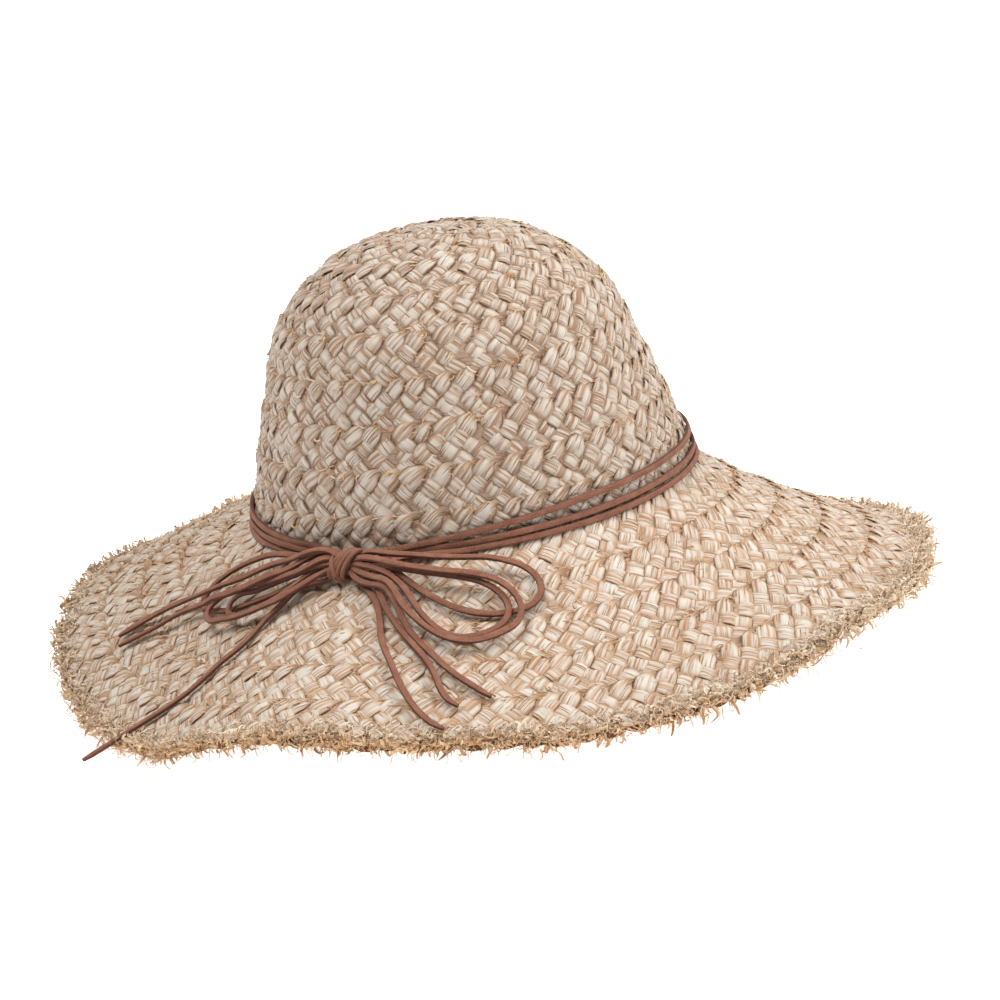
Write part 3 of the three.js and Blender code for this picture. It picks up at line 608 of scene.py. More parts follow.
# ---------------------------------------------------------------- fringe
def ribbons(name, material, ph, a, h, width, thick, tones, pale=None):
    """Thin flat strips. ph, a, h: (count, steps); width: (count, steps)."""
    cnt, st = ph.shape
    P = place(ph, a, h)
    T = np.gradient(P, axis=1)
    T /= np.linalg.norm(T, axis=-1, keepdims=True) + 1e-9
    N = sample(GRID_N, ph, a)
    rnd = RNG.standard_normal((cnt, 1, 3)) * 0.9
    side = np.cross(T, N + rnd)
    side /= np.linalg.norm(side, axis=-1, keepdims=True) + 1e-9
    up = np.cross(side, T)
    w2 = width[..., None] / 2
    t2 = thick / 2
    ring = np.stack([P - side * w2, P + up * t2, P + side * w2, P - up * t2], 2)  # cnt, st, 4, 3
    V = ring.reshape(-1, 3)
    I, S, J = np.meshgrid(np.arange(cnt), np.arange(st - 1), np.arange(4), indexing="ij")
    b = I * st * 4
    q = np.stack([b + S * 4 + J, b + S * 4 + (J + 1) % 4, b + (S + 1) * 4 + (J + 1) % 4, b + (S + 1) * 4 + J], -1).reshape(-1, 4)
    b0 = np.arange(cnt) * st * 4
    cap0 = np.stack([b0 + 3, b0 + 2, b0 + 1, b0], -1)
    e0 = b0 + (st - 1) * 4
    cap1 = np.stack([e0, e0 + 1, e0 + 2, e0 + 3], -1)
    s = np.concatenate([np.zeros((cnt, 1)), np.cumsum(np.linalg.norm(np.diff(P, axis=1), axis=-1), 1)], 1)
    fib = np.zeros((cnt, st, 4, 3))
    fib[..., 0] = s[..., None] + RNG.random((cnt, 1, 1)) * 900
    fib[..., 1] = np.array([-1, 0, 1, 0])[None, None] * width[..., None] / 2
    fib[..., 2] = RNG.random((cnt, 1, 1)) * 60
    tone = np.repeat(tones.reshape(cnt, -1)[:, :, None] * np.ones((1, st, 1)), 4, 2).reshape(-1)
    f = np.linspace(0, 1, st)[None, :, None] * np.ones((cnt, 1, 4))
    # painted shade: fibres lying lower, and the root end of each, are darker
    painted_shade = np.clip(0.08 - 0.06 * f + np.clip(-0.13 * (h[..., None] + 1.1), -0.10, 0.45), 0, 1)
    G = int(math.ceil(math.sqrt(cnt)))
    cx, cy = (I % G), (I // G)
    x0 = (cx + 0.04 + 0.80 * S / (st - 1)) / G
    x1 = x0 + 0.80 / (st - 1) / G
    y0 = (cy + 0.06 + 0.88 * J / 4) / G
    y1 = y0 + 0.22 / G
    uq = np.stack([np.stack([x0, y0], -1), np.stack([x0, y1], -1), np.stack([x1, y1], -1), np.stack([x1, y0], -1)], 3).reshape(-1, 4, 2)
    box = np.array([(0.88, 0.1), (0.96, 0.1), (0.96, 0.4), (0.88, 0.4)])
    org = np.stack([np.arange(cnt) % G, np.arange(cnt) // G], -1)[:, None, :]
    u0 = (org + box[None]) / G
    u1 = (org + box[None] + np.array([0, 0.5])) / G
    return new_object(name, V * MM, [q[:, ::-1], cap0[:, ::-1], cap1[:, ::-1]], material,
                      {"fib": fib.reshape(-1, 3), "tone": np.clip(tone, 0, 1), "painted_shade": painted_shade.reshape(-1),
                       "pale": (np.zeros(len(V)) if pale is None else np.repeat(pale.reshape(-1), 4))},
                      smooth=False, uvs=[uq[:, ::-1], u0, u1])


def fray_paths(cnt, st, lo, hi, start, spread, curl, hcurl, rng, hbase=(-2.0, 0.2), out_bias=0.0, tufts=0):
    """Random short curly paths that start near the brim's last row, gathered in tufts."""
    if tufts:
        t_ph = (np.arange(tufts) + 0.7 * rng.random(tufts)) / tufts * TAU
        t_ang = rng.standard_normal(tufts) * 0.55
        t_curl = rng.standard_normal(tufts) * curl * 0.8
        t_len = 0.75 + 0.55 * rng.random(tufts)
        t_el = rng.standard_normal(tufts) * 0.35
        t = rng.integers(0, tufts, cnt)
        ph0 = t_ph[t] + rng.standard_normal(cnt) * 0.0065
        ang = t_ang[t] + rng.standard_normal(cnt) * spread * 0.6
        k = t_curl[t] + rng.standard_normal(cnt) * curl * 0.6
        length = (lo + (hi - lo) * rng.random(cnt)) * t_len[t]
        e0 = t_el[t] + rng.standard_normal(cnt) * 0.25 + out_bias
    else:
        ph0 = rng.random(cnt) * TAU
        ang = rng.standard_normal(cnt) * spread
        k = rng.standard_normal(cnt) * curl
        length = (lo + (hi - lo) * rng.random(cnt) ** 1.3) * (0.85 + 0.3 * np.sin(ph0 * 37 + 3 * np.sin(ph0 * 11)))
        e0 = rng.standard_normal(cnt) * 0.35 + out_bias
    a0 = start[0] + (start[1] - start[0]) * rng.random(cnt)
    h0 = hbase[0] + (hbase[1] - hbase[0]) * rng.random(cnt)
    k2 = rng.standard_normal(cnt) * curl * 0.6
    ek = rng.standard_normal(cnt) * hcurl
    R = 205.0
    ph = np.zeros((cnt, st))
    a = np.zeros((cnt, st))
    h = np.zeros((cnt, st))
    ph[:, 0], a[:, 0], h[:, 0] = ph0, a0, h0
    ds = length / (st - 1)
    for i in range(1, st):
        f = (i - 0.5) / (st - 1)
        th = ang + k * f + k2 * math.sin(5 * f)
        el = e0 + ek * f
        ph[:, i] = ph[:, i - 1] + np.sin(th) * np.cos(el) * ds / R
        a[:, i] = a[:, i - 1] - np.cos(th) * np.cos(el) * ds
        h[:, i] = h[:, i - 1] + np.sin(el) * ds
    a = np.maximum(a, -121.0)
    h = np.clip(h, -6.5, 3.5)
    return ph, a, h, length


def fringe():
    rng = np.random.default_rng(501)

    def paleness_and_painted_light(a, ph):
        # paler near the brim like the plait; painted light along the right-hand side and a little on the left, leaving
        # the front golden
        side = np.clip(np.cos(ph + 0.15), 0, 1) + 0.35 * np.clip(-np.cos(ph), 0, 1)
        return np.clip(0.85 - (-a - 101.5) / 8.0 + 0.90 * side + 0.25 * rng.standard_normal((len(a), 1)), 0, 1)

    def shade_of(a, cnt):
        # pale by the brim like the plait, golden brown at the very edge
        k = np.clip((-a[:, 0] - 100.0) / 11.0, 0, 1)
        return 0.84 - 0.44 * k + 0.20 * rng.standard_normal(cnt)

    # cut ends of the plait's own strands: flat, wide, going on in the weave's two directions
    cnt, st = 1300, 7
    ph, a, h, ln = fray_paths(cnt, st, 5.0, 8.5, (-100.5, -105.5), 0.25, 0.9, 0.8, rng, (-2.0, -0.8))
    sgn = np.where(rng.random(cnt) < 0.5, 1, -1)[:, None]
    ph = ph + sgn * np.linspace(0, 1, st)[None] * 0.022
    f = np.linspace(0, 1, st)[None]
    wd = (1.6 + 1.6 * rng.random((cnt, 1))) * (1 - 0.70 * f ** 2)
    o = ribbons("fringe_cut_ends", FRAY, ph, a, h, wd, 0.30, shade_of(a, cnt), paleness_and_painted_light(a, ph))
    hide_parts("brim_fringe")
    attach(o, "hat")
    # split strips that curl
    cnt, st = 2900, 9
    ph, a, h, ln = fray_paths(cnt, st, 4.5, 9.5, (-101.5, -108.5), 0.9, 2.2, 2.0, rng, (-2.6, 0.4), -0.08, tufts=200)
    f = np.linspace(0, 1, st)[None]
    wd = (0.75 + 1.25 * rng.random((cnt, 1))) * (1 - 0.60 * f ** 2)
    o = ribbons("fringe_strips", FRAY, ph, a, h, wd, 0.20, shade_of(a, cnt) - 0.10, paleness_and_painted_light(a, ph))
    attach(o, "hat")
    # fine fibres, tangled
    for part, lo, hi, tf, cnt, st in (("fringe_fuzz", -96.5, -107.5, 0, 3600, 6), ("fringe_fibre_ends", -105.0, -111.5, 300, 3000, 7)):
        if tf:
            ph, a, h, ln = fray_paths(cnt, st, 2.5, 7.0, (lo, hi), 1.2, 3.0, 2.4, rng, (-2.0, 0.8), -0.03, tufts=tf)
        else:
            ph, a, h, ln = fray_paths(cnt, st, 3.5, 8.0, (lo, hi), 1.1, 2.0, 0.8, rng, (-0.3, 0.9), 0.0)
        f = np.linspace(0, 1, st)[None]
        wd = (0.30 + 0.45 * rng.random((cnt, 1))) * (1 - 0.6 * f)
        o = ribbons(part, FRAY, ph, a, h, wd, 0.15, shade_of(a, cnt), paleness_and_painted_light(a, ph))
        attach(o, "hat")


fringe()


def wisps():
    """Fine loose fibres that stand out along the seams, as on any hand-plaited straw."""
    rng = np.random.default_rng(902)
    seams = CROWN_SEAMS + [-21.0 * k for k in range(1, 6)]
    ph_all, a_all, h_all = [], [], []
    st = 6
    for s in seams:
        r = float(np.linalg.norm(sample(GRID_P, np.array([0.3]), np.array([s]))[0][:2]))
        cnt = int(r * 3.2)
        ph0 = rng.random(cnt) * TAU
        a0 = s + 0.6 + rng.standard_normal(cnt) * np.where(rng.random(cnt) < 0.6, 1.3, 5.0)
        ang = rng.random(cnt) * TAU
        ln = 2.5 + 4.5 * rng.random(cnt)
        k = rng.standard_normal(cnt) * 1.6
        f = np.linspace(0, 1, st)[None]
        th = ang[:, None] + k[:, None] * f
        du = np.cumsum(np.cos(th), 1) * (ln[:, None] / st)
        dv = np.cumsum(np.sin(th), 1) * (ln[:, None] / st)
        ph_all.append(ph0[:, None] + du / max(r, 8))
        a_all.append(np.minimum(a0[:, None] + dv * 0.7, CROWN_ARC - 2))
        h_all.append(-0.5 + (0.9 + 0.5 * rng.random((cnt, 1))) * np.sin(f * 2.2) )
    ph, a, h = (np.concatenate(x) for x in (ph_all, a_all, h_all))
    cnt = len(ph)
    wd = (0.32 + 0.58 * rng.random((cnt, 1))) * np.ones((1, st)) * (1 - 0.5 * np.linspace(0, 1, st)[None])
    o = ribbons("seam_wisps", FRAY, ph, a, h, wd, 0.14, 0.22 + 0.24 * rng.standard_normal(cnt),
                0.6 * (rng.random((cnt, 1)) < 0.12) * np.ones((1, st)))
    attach(o, "hat")


wisps()


# ----------------------------------------------------------- tip button
def tip_button():
    """The folded start of the plait, flattened at the very middle of the top."""
    rng = np.random.default_rng(33)
    st, mm = 14, len(CROSS_TOP) + len(CROSS_BOT)
    V, F, fibs, tones, painted_shade_parts = [], [], [], [], []
    base = 0
    for k in range(5):
        th = k * math.pi / 5 + 0.3
        s = np.linspace(-5.2, 5.2, st)
        off = rng.standard_normal() * 0.5
        cen = np.stack([s * math.cos(th) - off * math.sin(th), s * math.sin(th) + off * math.cos(th)], 1)
        w = 3.6 * (1 - 0.45 * np.abs(s / 5.2) ** 3)
        h = -0.35 + 0.16 * k - 1.15 * np.abs(s / 5.2) ** 2.2
        c = np.concatenate([CROSS_TOP, CROSS_BOT])
        ht = np.concatenate([0.42 * (1 - np.abs(CROSS_TOP) ** 2.2), [-0.4, -0.4]])
        x = cen[:, None, 0] - c[None] * w[:, None] / 2 * math.sin(th)
        y = cen[:, None, 1] + c[None] * w[:, None] / 2 * math.cos(th)
        d = np.hypot(x, y)
        ph = np.arctan2(y, x)
        P = place(ph, CROWN_ARC - np.maximum(d, 0.05), h[:, None] + ht[None])
        V.append(P.reshape(-1, 3))
        F.append(strip_faces(base, st, mm, False)[:, ::-1])
        F.append((np.arange(mm)[None] + base)[:, ::1])
        F.append((np.arange(mm)[None] + base + (st - 1) * mm)[:, ::-1])
        fibs.append(np.stack([np.repeat(s[:, None], mm, 1) + 70 * k, c[None] * w[:, None] / 2, np.full((st, mm), 5.0 * k)], -1).reshape(-1, 3))
        tones.append(np.full(st * mm, 0.45 + 0.08 * k))
        # painted shade: darker towards each strand's ends, where it bends down, and at its rims
        painted_shade_parts.append(np.clip(np.repeat((np.abs(s / 5.2) ** 2 * 0.7)[:, None], mm, 1) + 0.5 * np.clip((np.abs(c) - 0.6) / 0.4, 0, 1)[None], 0, 1).reshape(-1))
        base += st * mm
    o = new_object("raffia_tip_button", np.concatenate(V) * MM, F, RAFFIA_CROWN_SHADED,
                   {"fib": np.concatenate(fibs), "tone": np.concatenate(tones), "painted_shade": np.concatenate(painted_shade_parts)})
    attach(o, "hat")


tip_button()


# ------------------------------------------------------------- sweatband
def sweatband():
    n, lo, hi = 420, 2.8, 29.4
    ph = np.arange(n) / n * TAU
    prof = [(hi, -3.15), (hi - 0.9, -3.02), (hi - 6, -3.10), ((hi + lo) / 2, -3.12), (lo + 6, -3.10), (lo + 0.9, -3.02), (lo, -3.15),
            (lo, -3.95), (lo + 0.9, -4.15), (lo + 2.6, -3.98), (lo + 6, -4.06), ((hi + lo) / 2, -4.10), (hi - 6, -4.06),
            (hi - 2.6, -3.98), (hi - 0.9, -4.15), (hi, -3.95)]
    a = np.array([p[0] for p in prof])
    h = np.array([p[1] for p in prof])
    PH, AA = np.meshgrid(ph, a, indexing="ij")
    HH = np.repeat(h[None], n, 0)
    pucker = 0.10 * np.sin(PH * 46) * np.exp(-((AA - hi + 2.6) / 4) ** 2) + 0.12 * np.sin(PH * 17 + 1)
    pucker = np.where(HH < -3.5, pucker, 0)
    P = place(PH, AA, HH + pucker)
    m = len(prof)
    fib = np.stack([PH * 92, AA, np.zeros_like(AA)], -1).reshape(-1, 3)
    o = new_object("sweatband_ribbon", P.reshape(-1, 3) * MM, [strip_faces(0, n, m, True)], CLOTH, {"fib": fib})
    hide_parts("sweatband")
    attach(o, "hat")
    # two rows of stitches
    cnt = 190
    V, F, fibs = [], [], []
    base = 0
    st, mm = 6, 6
    for row, aa in enumerate((lo + 2.6, hi - 2.6)):
        for i in range(cnt):
            p0 = (i + 0.14) / cnt * TAU
            p1 = (i + 0.86) / cnt * TAU
            t = np.linspace(0, 1, st)
            ph_ = p0 + (p1 - p0) * t
            hh = -4.02 - 0.20 * np.sin(math.pi * t)
            C = place(ph_, np.full(st, aa + 0.25 * (-1) ** i * 0.3), hh)
            Nn = sample(GRID_N, ph_, np.full(st, aa))
            T = np.gradient(C, axis=0)
            T /= np.linalg.norm(T, axis=1, keepdims=True)
            S = np.cross(T, Nn)
            q = np.arange(mm) / mm * TAU
            r = 0.20 * (0.55 + 0.45 * np.sin(math.pi * np.clip(t, 0.08, 0.92)))
            ring = C[:, None] + r[:, None, None] * (np.cos(q)[None, :, None] * S[:, None] + np.sin(q)[None, :, None] * Nn[:, None])
            V.append(ring.reshape(-1, 3))
            F.append(strip_faces(base, st, mm, False))
            F.append((np.arange(mm)[None] + base)[:, ::-1])
            F.append(np.arange(mm)[None] + base + (st - 1) * mm)
            fibs.append(np.stack([np.repeat(t[:, None] * 2 + i * 3, mm, 1), np.repeat(q[None], st, 0), np.zeros((st, mm))], -1).reshape(-1, 3))
            base += st * mm
    s = new_object("sweatband_stitching", np.concatenate(V) * MM, F, CLOTH, {"fib": np.concatenate(fibs)})
    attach(s, "hat")


sweatband()

# ------------------------------------------------------------------ laces
ROUTES = {
 "bow_loop_right_1":[(-50.14,-89.57,5.44),(-47.33,-90.98,6.04),(-44.63,-92.68,5.94),(-42.01,-94.43,5.5),(-39.26,-95.99,5.04),(-36.33,-97.21,4.75),(-33.38,-98.41,4.5),(-30.47,-99.68,4.2),(-27.55,-100.93,3.83),(-24.59,-102.03,3.4),(-21.56,-102.93,2.92),(-18.49,-103.66,2.42),(-15.39,-104.25,1.93),(-12.27,-104.71,1.47),(-9.12,-105.02,1.03),(-5.96,-105.16,0.6),(-2.8,-105.18,0.14),(0.34,-105.28,-0.45),(3.41,-105.65,-1.23),(6.4,-106.2,-2.19),(9.35,-106.71,-3.32),(12.21,-107.25,-4.61),(14.88,-108.11,-6.14),(17.18,-109.44,-7.9),(18.96,-111.24,-9.83),(20.05,-113.44,-11.85),(20.32,-115.92,-13.82),(19.63,-118.49,-15.55),(18.08,-120.89,-16.92),(15.8,-122.86,-17.89),(13.02,-124.28,-18.45),(10,-125.23,-18.71),(6.87,-125.85,-18.8),(3.71,-126.32,-18.66),(0.57,-126.62,-18.29),(-2.58,-126.55,-17.79),(-5.67,-126.15,-17.16),(-8.69,-125.43,-16.4),(-11.58,-124.41,-15.55),(-14.33,-123.11,-14.6),(-16.93,-121.55,-13.58),(-19.38,-119.81,-12.5),(-21.72,-117.94,-11.38),(-23.97,-115.99,-10.21),(-26.17,-113.99,-9.01),(-28.32,-111.95,-7.76),(-30.39,-109.84,-6.46),(-32.37,-107.63,-5.1),(-34.25,-105.31,-3.73),(-36.06,-102.86,-2.46),(-37.82,-100.34,-1.24),(-39.67,-98.11,0.21),(-41.86,-96.32,1.54),(-44.27,-94.67,2.51),(-46.79,-93.02,3.11),(-49.51,-91.52,3.3),(-50.85,-90.72,3.11)],
 "bow_loop_right_2":[(-52.08,-92.71,4.47),(-49.58,-94.67,4.82),(-47.06,-96.66,4.79),(-44.54,-98.63,4.46),(-42.01,-100.54,3.94),(-39.44,-102.39,3.36),(-36.78,-104.09,2.71),(-34.04,-105.56,2.04),(-31.2,-106.89,1.49),(-28.3,-108.1,0.96),(-25.34,-109.16,0.37),(-22.36,-110.1,-0.28),(-19.33,-110.96,-0.91),(-16.28,-111.72,-1.5),(-13.22,-112.42,-2.09),(-10.17,-113.11,-2.7),(-7.14,-113.86,-3.37),(-4.15,-114.7,-4.14),(-1.25,-115.68,-5.06),(1.5,-116.88,-6.15),(4.01,-118.35,-7.46),(6.21,-120.11,-8.97),(8.06,-122.1,-10.65),(9.54,-124.28,-12.46),(10.54,-126.63,-14.38),(10.88,-129.13,-16.32),(10.4,-131.7,-18.15),(9.1,-134.13,-19.74),(6.96,-136.18,-20.91),(4.23,-137.69,-21.56),(1.3,-138.92,-21.93),(-1.63,-140.17,-22.25),(-4.59,-141.36,-22.49),(-7.65,-142.26,-22.54),(-10.8,-142.73,-22.33),(-13.96,-142.74,-21.88),(-17.05,-142.25,-21.2),(-19.94,-141.26,-20.29),(-22.6,-139.85,-19.22),(-25.01,-138.13,-18.02),(-27.21,-136.19,-16.75),(-29.2,-134.07,-15.43),(-31.01,-131.8,-14.1),(-32.65,-129.4,-12.79),(-34.14,-126.91,-11.49),(-35.48,-124.36,-10.17),(-36.66,-121.78,-8.77),(-37.65,-119.23,-7.24),(-38.49,-116.72,-5.56),(-39.37,-114.11,-3.92),(-40.57,-111.21,-2.58),(-42.24,-108.3,-1.93),(-44.26,-105.72,-1.92),(-46.39,-103.31,-1.98),(-48.51,-100.92,-1.87),(-50.61,-98.53,-1.51),(-52.59,-96.14,-0.72),(-53.49,-94.97,-0.12)],
 "bow_loop_right_3":[(-51.57,-91.88,0.77),(-48.89,-93.76,0.68),(-46.33,-95.76,0.68),(-43.93,-97.91,0.78),(-41.44,-100.02,0.92),(-38.8,-101.87,0.78),(-35.93,-103.19,0.26),(-33.01,-104.36,-0.36),(-30.11,-105.53,-0.98),(-27.22,-106.76,-1.58),(-24.3,-107.93,-2.16),(-21.32,-108.93,-2.76),(-18.3,-109.8,-3.39),(-15.26,-110.62,-4.04),(-12.24,-111.49,-4.73),(-9.27,-112.46,-5.51),(-6.39,-113.57,-6.4),(-3.63,-114.85,-7.44),(-1.04,-116.34,-8.67),(1.3,-118.04,-10.1),(3.28,-120.01,-11.74),(4.79,-122.31,-13.51),(5.72,-124.93,-15.31),(5.94,-127.8,-16.97),(4.96,-130.01,-18.96),(2.99,-131.98,-20.37),(0.48,-133.64,-21.32),(-2.29,-135.07,-21.94),(-5.25,-136.23,-22.29),(-8.33,-137.1,-22.4),(-11.49,-137.64,-22.32),(-14.67,-137.76,-22),(-17.77,-137.26,-21.34),(-20.52,-135.99,-20.31),(-22.83,-134.17,-19.01),(-24.81,-132.07,-17.61),(-26.6,-129.83,-16.16),(-28.23,-127.48,-14.69),(-29.65,-125.02,-13.2),(-30.84,-122.46,-11.69),(-31.87,-119.81,-10.19),(-32.82,-117.13,-8.72),(-33.8,-114.44,-7.28),(-34.9,-111.77,-5.91),(-36.18,-109.19,-4.56),(-37.73,-106.78,-3.21),(-39.59,-104.64,-1.83),(-41.79,-102.85,-0.49),(-44.22,-101.19,0.73),(-46.59,-99.14,1.7),(-49.11,-97.11,2.26),(-51.61,-94.98,2.33),(-52.8,-93.86,2.13)],
 "bow_loop_left_1":[(-62.75,-83.34,3.11),(-65.49,-81.66,3.19),(-67.97,-79.61,3.04),(-70.28,-77.35,2.86),(-72.52,-75.09,2.82),(-74.62,-72.72,2.68),(-76.68,-70.3,2.52),(-78.75,-67.88,2.38),(-80.83,-65.47,2.24),(-82.89,-63.04,2.07),(-84.88,-60.55,1.83),(-86.84,-58.04,1.48),(-88.84,-55.6,0.99),(-90.95,-53.29,0.32),(-93.18,-51.15,-0.51),(-95.48,-49.15,-1.46),(-97.84,-47.23,-2.48),(-100.23,-45.4,-3.56),(-102.65,-43.67,-4.71),(-105.12,-42.04,-5.94),(-107.63,-40.54,-7.25),(-110.19,-39.26,-8.66),(-112.82,-38.26,-10.18),(-115.5,-37.67,-11.82),(-118.14,-37.75,-13.61),(-120.54,-38.71,-15.47),(-122.42,-40.58,-17.25),(-123.48,-43.19,-18.71),(-123.62,-46.2,-19.74),(-122.67,-49.21,-20.17),(-120.98,-51.91,-20.09),(-118.99,-54.41,-19.79),(-116.97,-56.86,-19.45),(-114.92,-59.28,-19.06),(-112.74,-61.57,-18.55),(-110.41,-63.66,-17.88),(-107.98,-65.57,-17.07),(-105.5,-67.37,-16.14),(-103.01,-69.11,-15.14),(-100.5,-70.79,-14.1),(-97.96,-72.42,-13.06),(-95.38,-73.99,-12.06),(-92.75,-75.48,-11.06),(-90.08,-76.84,-10.02),(-87.39,-78.02,-8.89),(-84.67,-78.97,-7.67),(-81.9,-79.7,-6.46),(-79.06,-80.16,-5.28),(-75.97,-80.9,-4.43),(-72.9,-82.1,-4.12),(-69.88,-83.29,-3.66),(-66.92,-84.44,-2.81),(-64.15,-85.6,-1.47)],
 "bow_loop_left_2":[(-63.98,-85.32,4.47),(-66.73,-84.4,4.99),(-69.75,-84.17,4.69),(-72.55,-84.56,3.29),(-75.16,-84.27,1.29),(-77.9,-83.19,-0.1),(-80.59,-81.6,-0.94),(-83.26,-80.1,-1.79),(-85.96,-78.7,-2.83),(-88.65,-77.06,-3.86),(-91.3,-75.16,-4.78),(-93.84,-73.08,-5.47),(-96.25,-70.9,-6.18),(-98.67,-68.74,-6.98),(-101.04,-66.61,-7.82),(-103.42,-64.7,-8.83),(-105.89,-63.26,-9.98),(-108.26,-61.7,-10.91),(-110.52,-60.02,-11.68),(-112.73,-58.52,-12.47),(-114.9,-57.64,-13.66),(-117.16,-57.66,-15.3),(-119.33,-58.51,-16.46),(-120.86,-60.01,-17.86),(-121.39,-61.98,-19.11),(-121.18,-64.04,-20.02),(-120.15,-66.01,-20.38),(-118.55,-67.78,-20.24),(-116.42,-69.37,-19.49),(-114.25,-71.57,-18.74),(-112.23,-74.18,-18.04),(-109.75,-76.26,-17.37),(-107.15,-77.83,-16.66),(-104.55,-79.24,-15.79),(-101.92,-80.59,-14.82),(-99.27,-81.91,-13.79),(-96.6,-83.2,-12.75),(-93.88,-84.4,-11.68),(-91.12,-85.46,-10.59),(-88.31,-86.33,-9.46),(-85.48,-87.06,-8.26),(-82.69,-87.8,-6.97),(-79.9,-88.45,-5.61),(-77.03,-88.6,-4.25),(-74.14,-87.93,-3.06),(-71.26,-87.01,-2.02),(-68.25,-86.63,-1.04),(-65.38,-87.58,-0.12)],
 "bow_loop_left_3":[(-64.69,-86.47,2.13),(-67.6,-85.06,2.38),(-70.49,-83.62,1.69),(-73.35,-82.24,0.74),(-75.9,-81.12,-0.88),(-78.6,-79.95,-2.1),(-81.37,-78.61,-3.05),(-84.1,-77.11,-4.01),(-86.75,-75.53,-5.04),(-89.32,-73.96,-6.16),(-91.96,-72.55,-7.28),(-94.69,-71.3,-8.37),(-97.38,-70.25,-9.24),(-99.87,-69.13,-9.64),(-102.23,-67.73,-10),(-104.5,-66.42,-10.58),(-106.81,-65.76,-11.55),(-108.99,-66.05,-12.89),(-110.64,-67.02,-14.46),(-111.53,-68.46,-15.97),(-111.56,-70.09,-17.19),(-110.72,-71.7,-17.91),(-109.29,-73.23,-18.11),(-107.45,-74.64,-17.72),(-105.05,-76.02,-16.83),(-102.43,-77.36,-15.78),(-99.74,-78.7,-14.68),(-97.04,-80.01,-13.54),(-94.32,-81.26,-12.34),(-91.57,-82.4,-11.05),(-88.8,-83.38,-9.67),(-86.02,-84.21,-8.2),(-83.23,-84.72,-6.65),(-80.44,-84.83,-5.05),(-77.64,-84.49,-3.52),(-74.82,-83.76,-2.23),(-71.85,-82.88,-1.37),(-68.96,-82.35,-0.15),(-66.01,-82.89,0.66),(-63.46,-84.49,0.77)],
 "lace_tail_right_1":[(-53.95,-93.53,-3.81),(-52.52,-95.83,-5.54),(-51.19,-98.64,-6.5),(-50.02,-101.42,-7.42),(-49.09,-104.3,-7.86),(-48.3,-107.27,-8.22),(-47.63,-110.26,-8.8),(-47.05,-113.14,-9.9),(-46.61,-115.82,-11.52),(-46.42,-118.48,-13.24),(-46.51,-121.27,-14.74),(-46.74,-124.15,-16.05),(-46.95,-127.09,-17.26),(-46.97,-130.04,-18.43),(-46.75,-132.97,-19.63),(-46.33,-135.89,-20.82),(-45.79,-138.79,-22.01),(-45.18,-141.68,-23.18),(-44.57,-144.58,-24.34),(-43.99,-147.49,-25.48),(-43.41,-150.4,-26.61),(-42.83,-153.32,-27.73),(-42.21,-156.23,-28.84),(-41.53,-159.13,-29.96),(-40.78,-162.01,-31.07),(-39.95,-164.87,-32.18),(-39.04,-167.71,-33.29),(-38.02,-170.51,-34.4),(-36.9,-173.28,-35.5),(-35.63,-175.98,-36.6),(-34.16,-178.57,-37.69),(-32.44,-181.02,-38.77),(-30.44,-183.25,-39.82),(-28.13,-185.19,-40.83),(-26.88,-186.03,-41.32)],
 "lace_tail_right_2":[(-52.26,-92.99,-1.47),(-50.07,-94.93,-2.66),(-48.37,-97.35,-3.73),(-47.14,-100.07,-4.72),(-46.24,-102.93,-5.68),(-45.61,-105.91,-6.63),(-45.18,-108.97,-7.41),(-44.72,-111.98,-8.38),(-44.18,-114.91,-9.53),(-43.45,-117.69,-10.9),(-42.54,-120.34,-12.41),(-41.52,-122.93,-13.95),(-40.44,-125.54,-15.41),(-39.3,-128.18,-16.79),(-38.11,-130.84,-18.1),(-36.9,-133.51,-19.37),(-35.61,-136.15,-20.57),(-34.23,-138.74,-21.73),(-32.9,-141.35,-22.91),(-31.63,-143.99,-24.12),(-30.45,-146.66,-25.34),(-29.38,-149.37,-26.58),(-28.48,-152.14,-27.83),(-27.77,-154.96,-29.09),(-27.22,-157.83,-30.33),(-26.73,-160.71,-31.58),(-26.17,-163.58,-32.81),(-25.42,-166.4,-34.04),(-24.29,-169.1,-35.27),(-22.6,-171.5,-36.45),(-20.3,-173.38,-37.53)],
 "lace_tail_right_3":[(-55.19,-95.51,-2.45),(-54.11,-97.94,-4.29),(-52.22,-100.49,-4.94),(-49.92,-102.75,-4.81),(-47.67,-104.92,-4.23),(-45.34,-107.05,-4.03),(-43.29,-109.32,-4.23),(-41.69,-111.68,-5.01),(-40.64,-114.18,-6.39),(-39.86,-116.78,-8.09),(-39.11,-119.4,-9.85),(-38.32,-122.02,-11.6),(-37.53,-124.64,-13.31),(-36.74,-127.26,-15),(-35.85,-129.87,-16.65),(-34.71,-132.41,-18.19),(-33.35,-134.93,-19.67),(-31.87,-137.44,-21.06),(-30.26,-139.92,-22.37),(-28.66,-142.42,-23.63),(-27.13,-144.97,-24.87),(-25.63,-147.54,-26.1),(-24.1,-150.09,-27.33),(-22.45,-152.57,-28.56),(-20.65,-154.94,-29.78),(-18.72,-157.2,-31),(-16.69,-159.37,-32.22),(-14.59,-161.48,-33.45),(-12.44,-163.54,-34.67),(-10.29,-165.57,-35.91),(-8.14,-167.61,-37.16),(-7.08,-168.64,-37.8)],
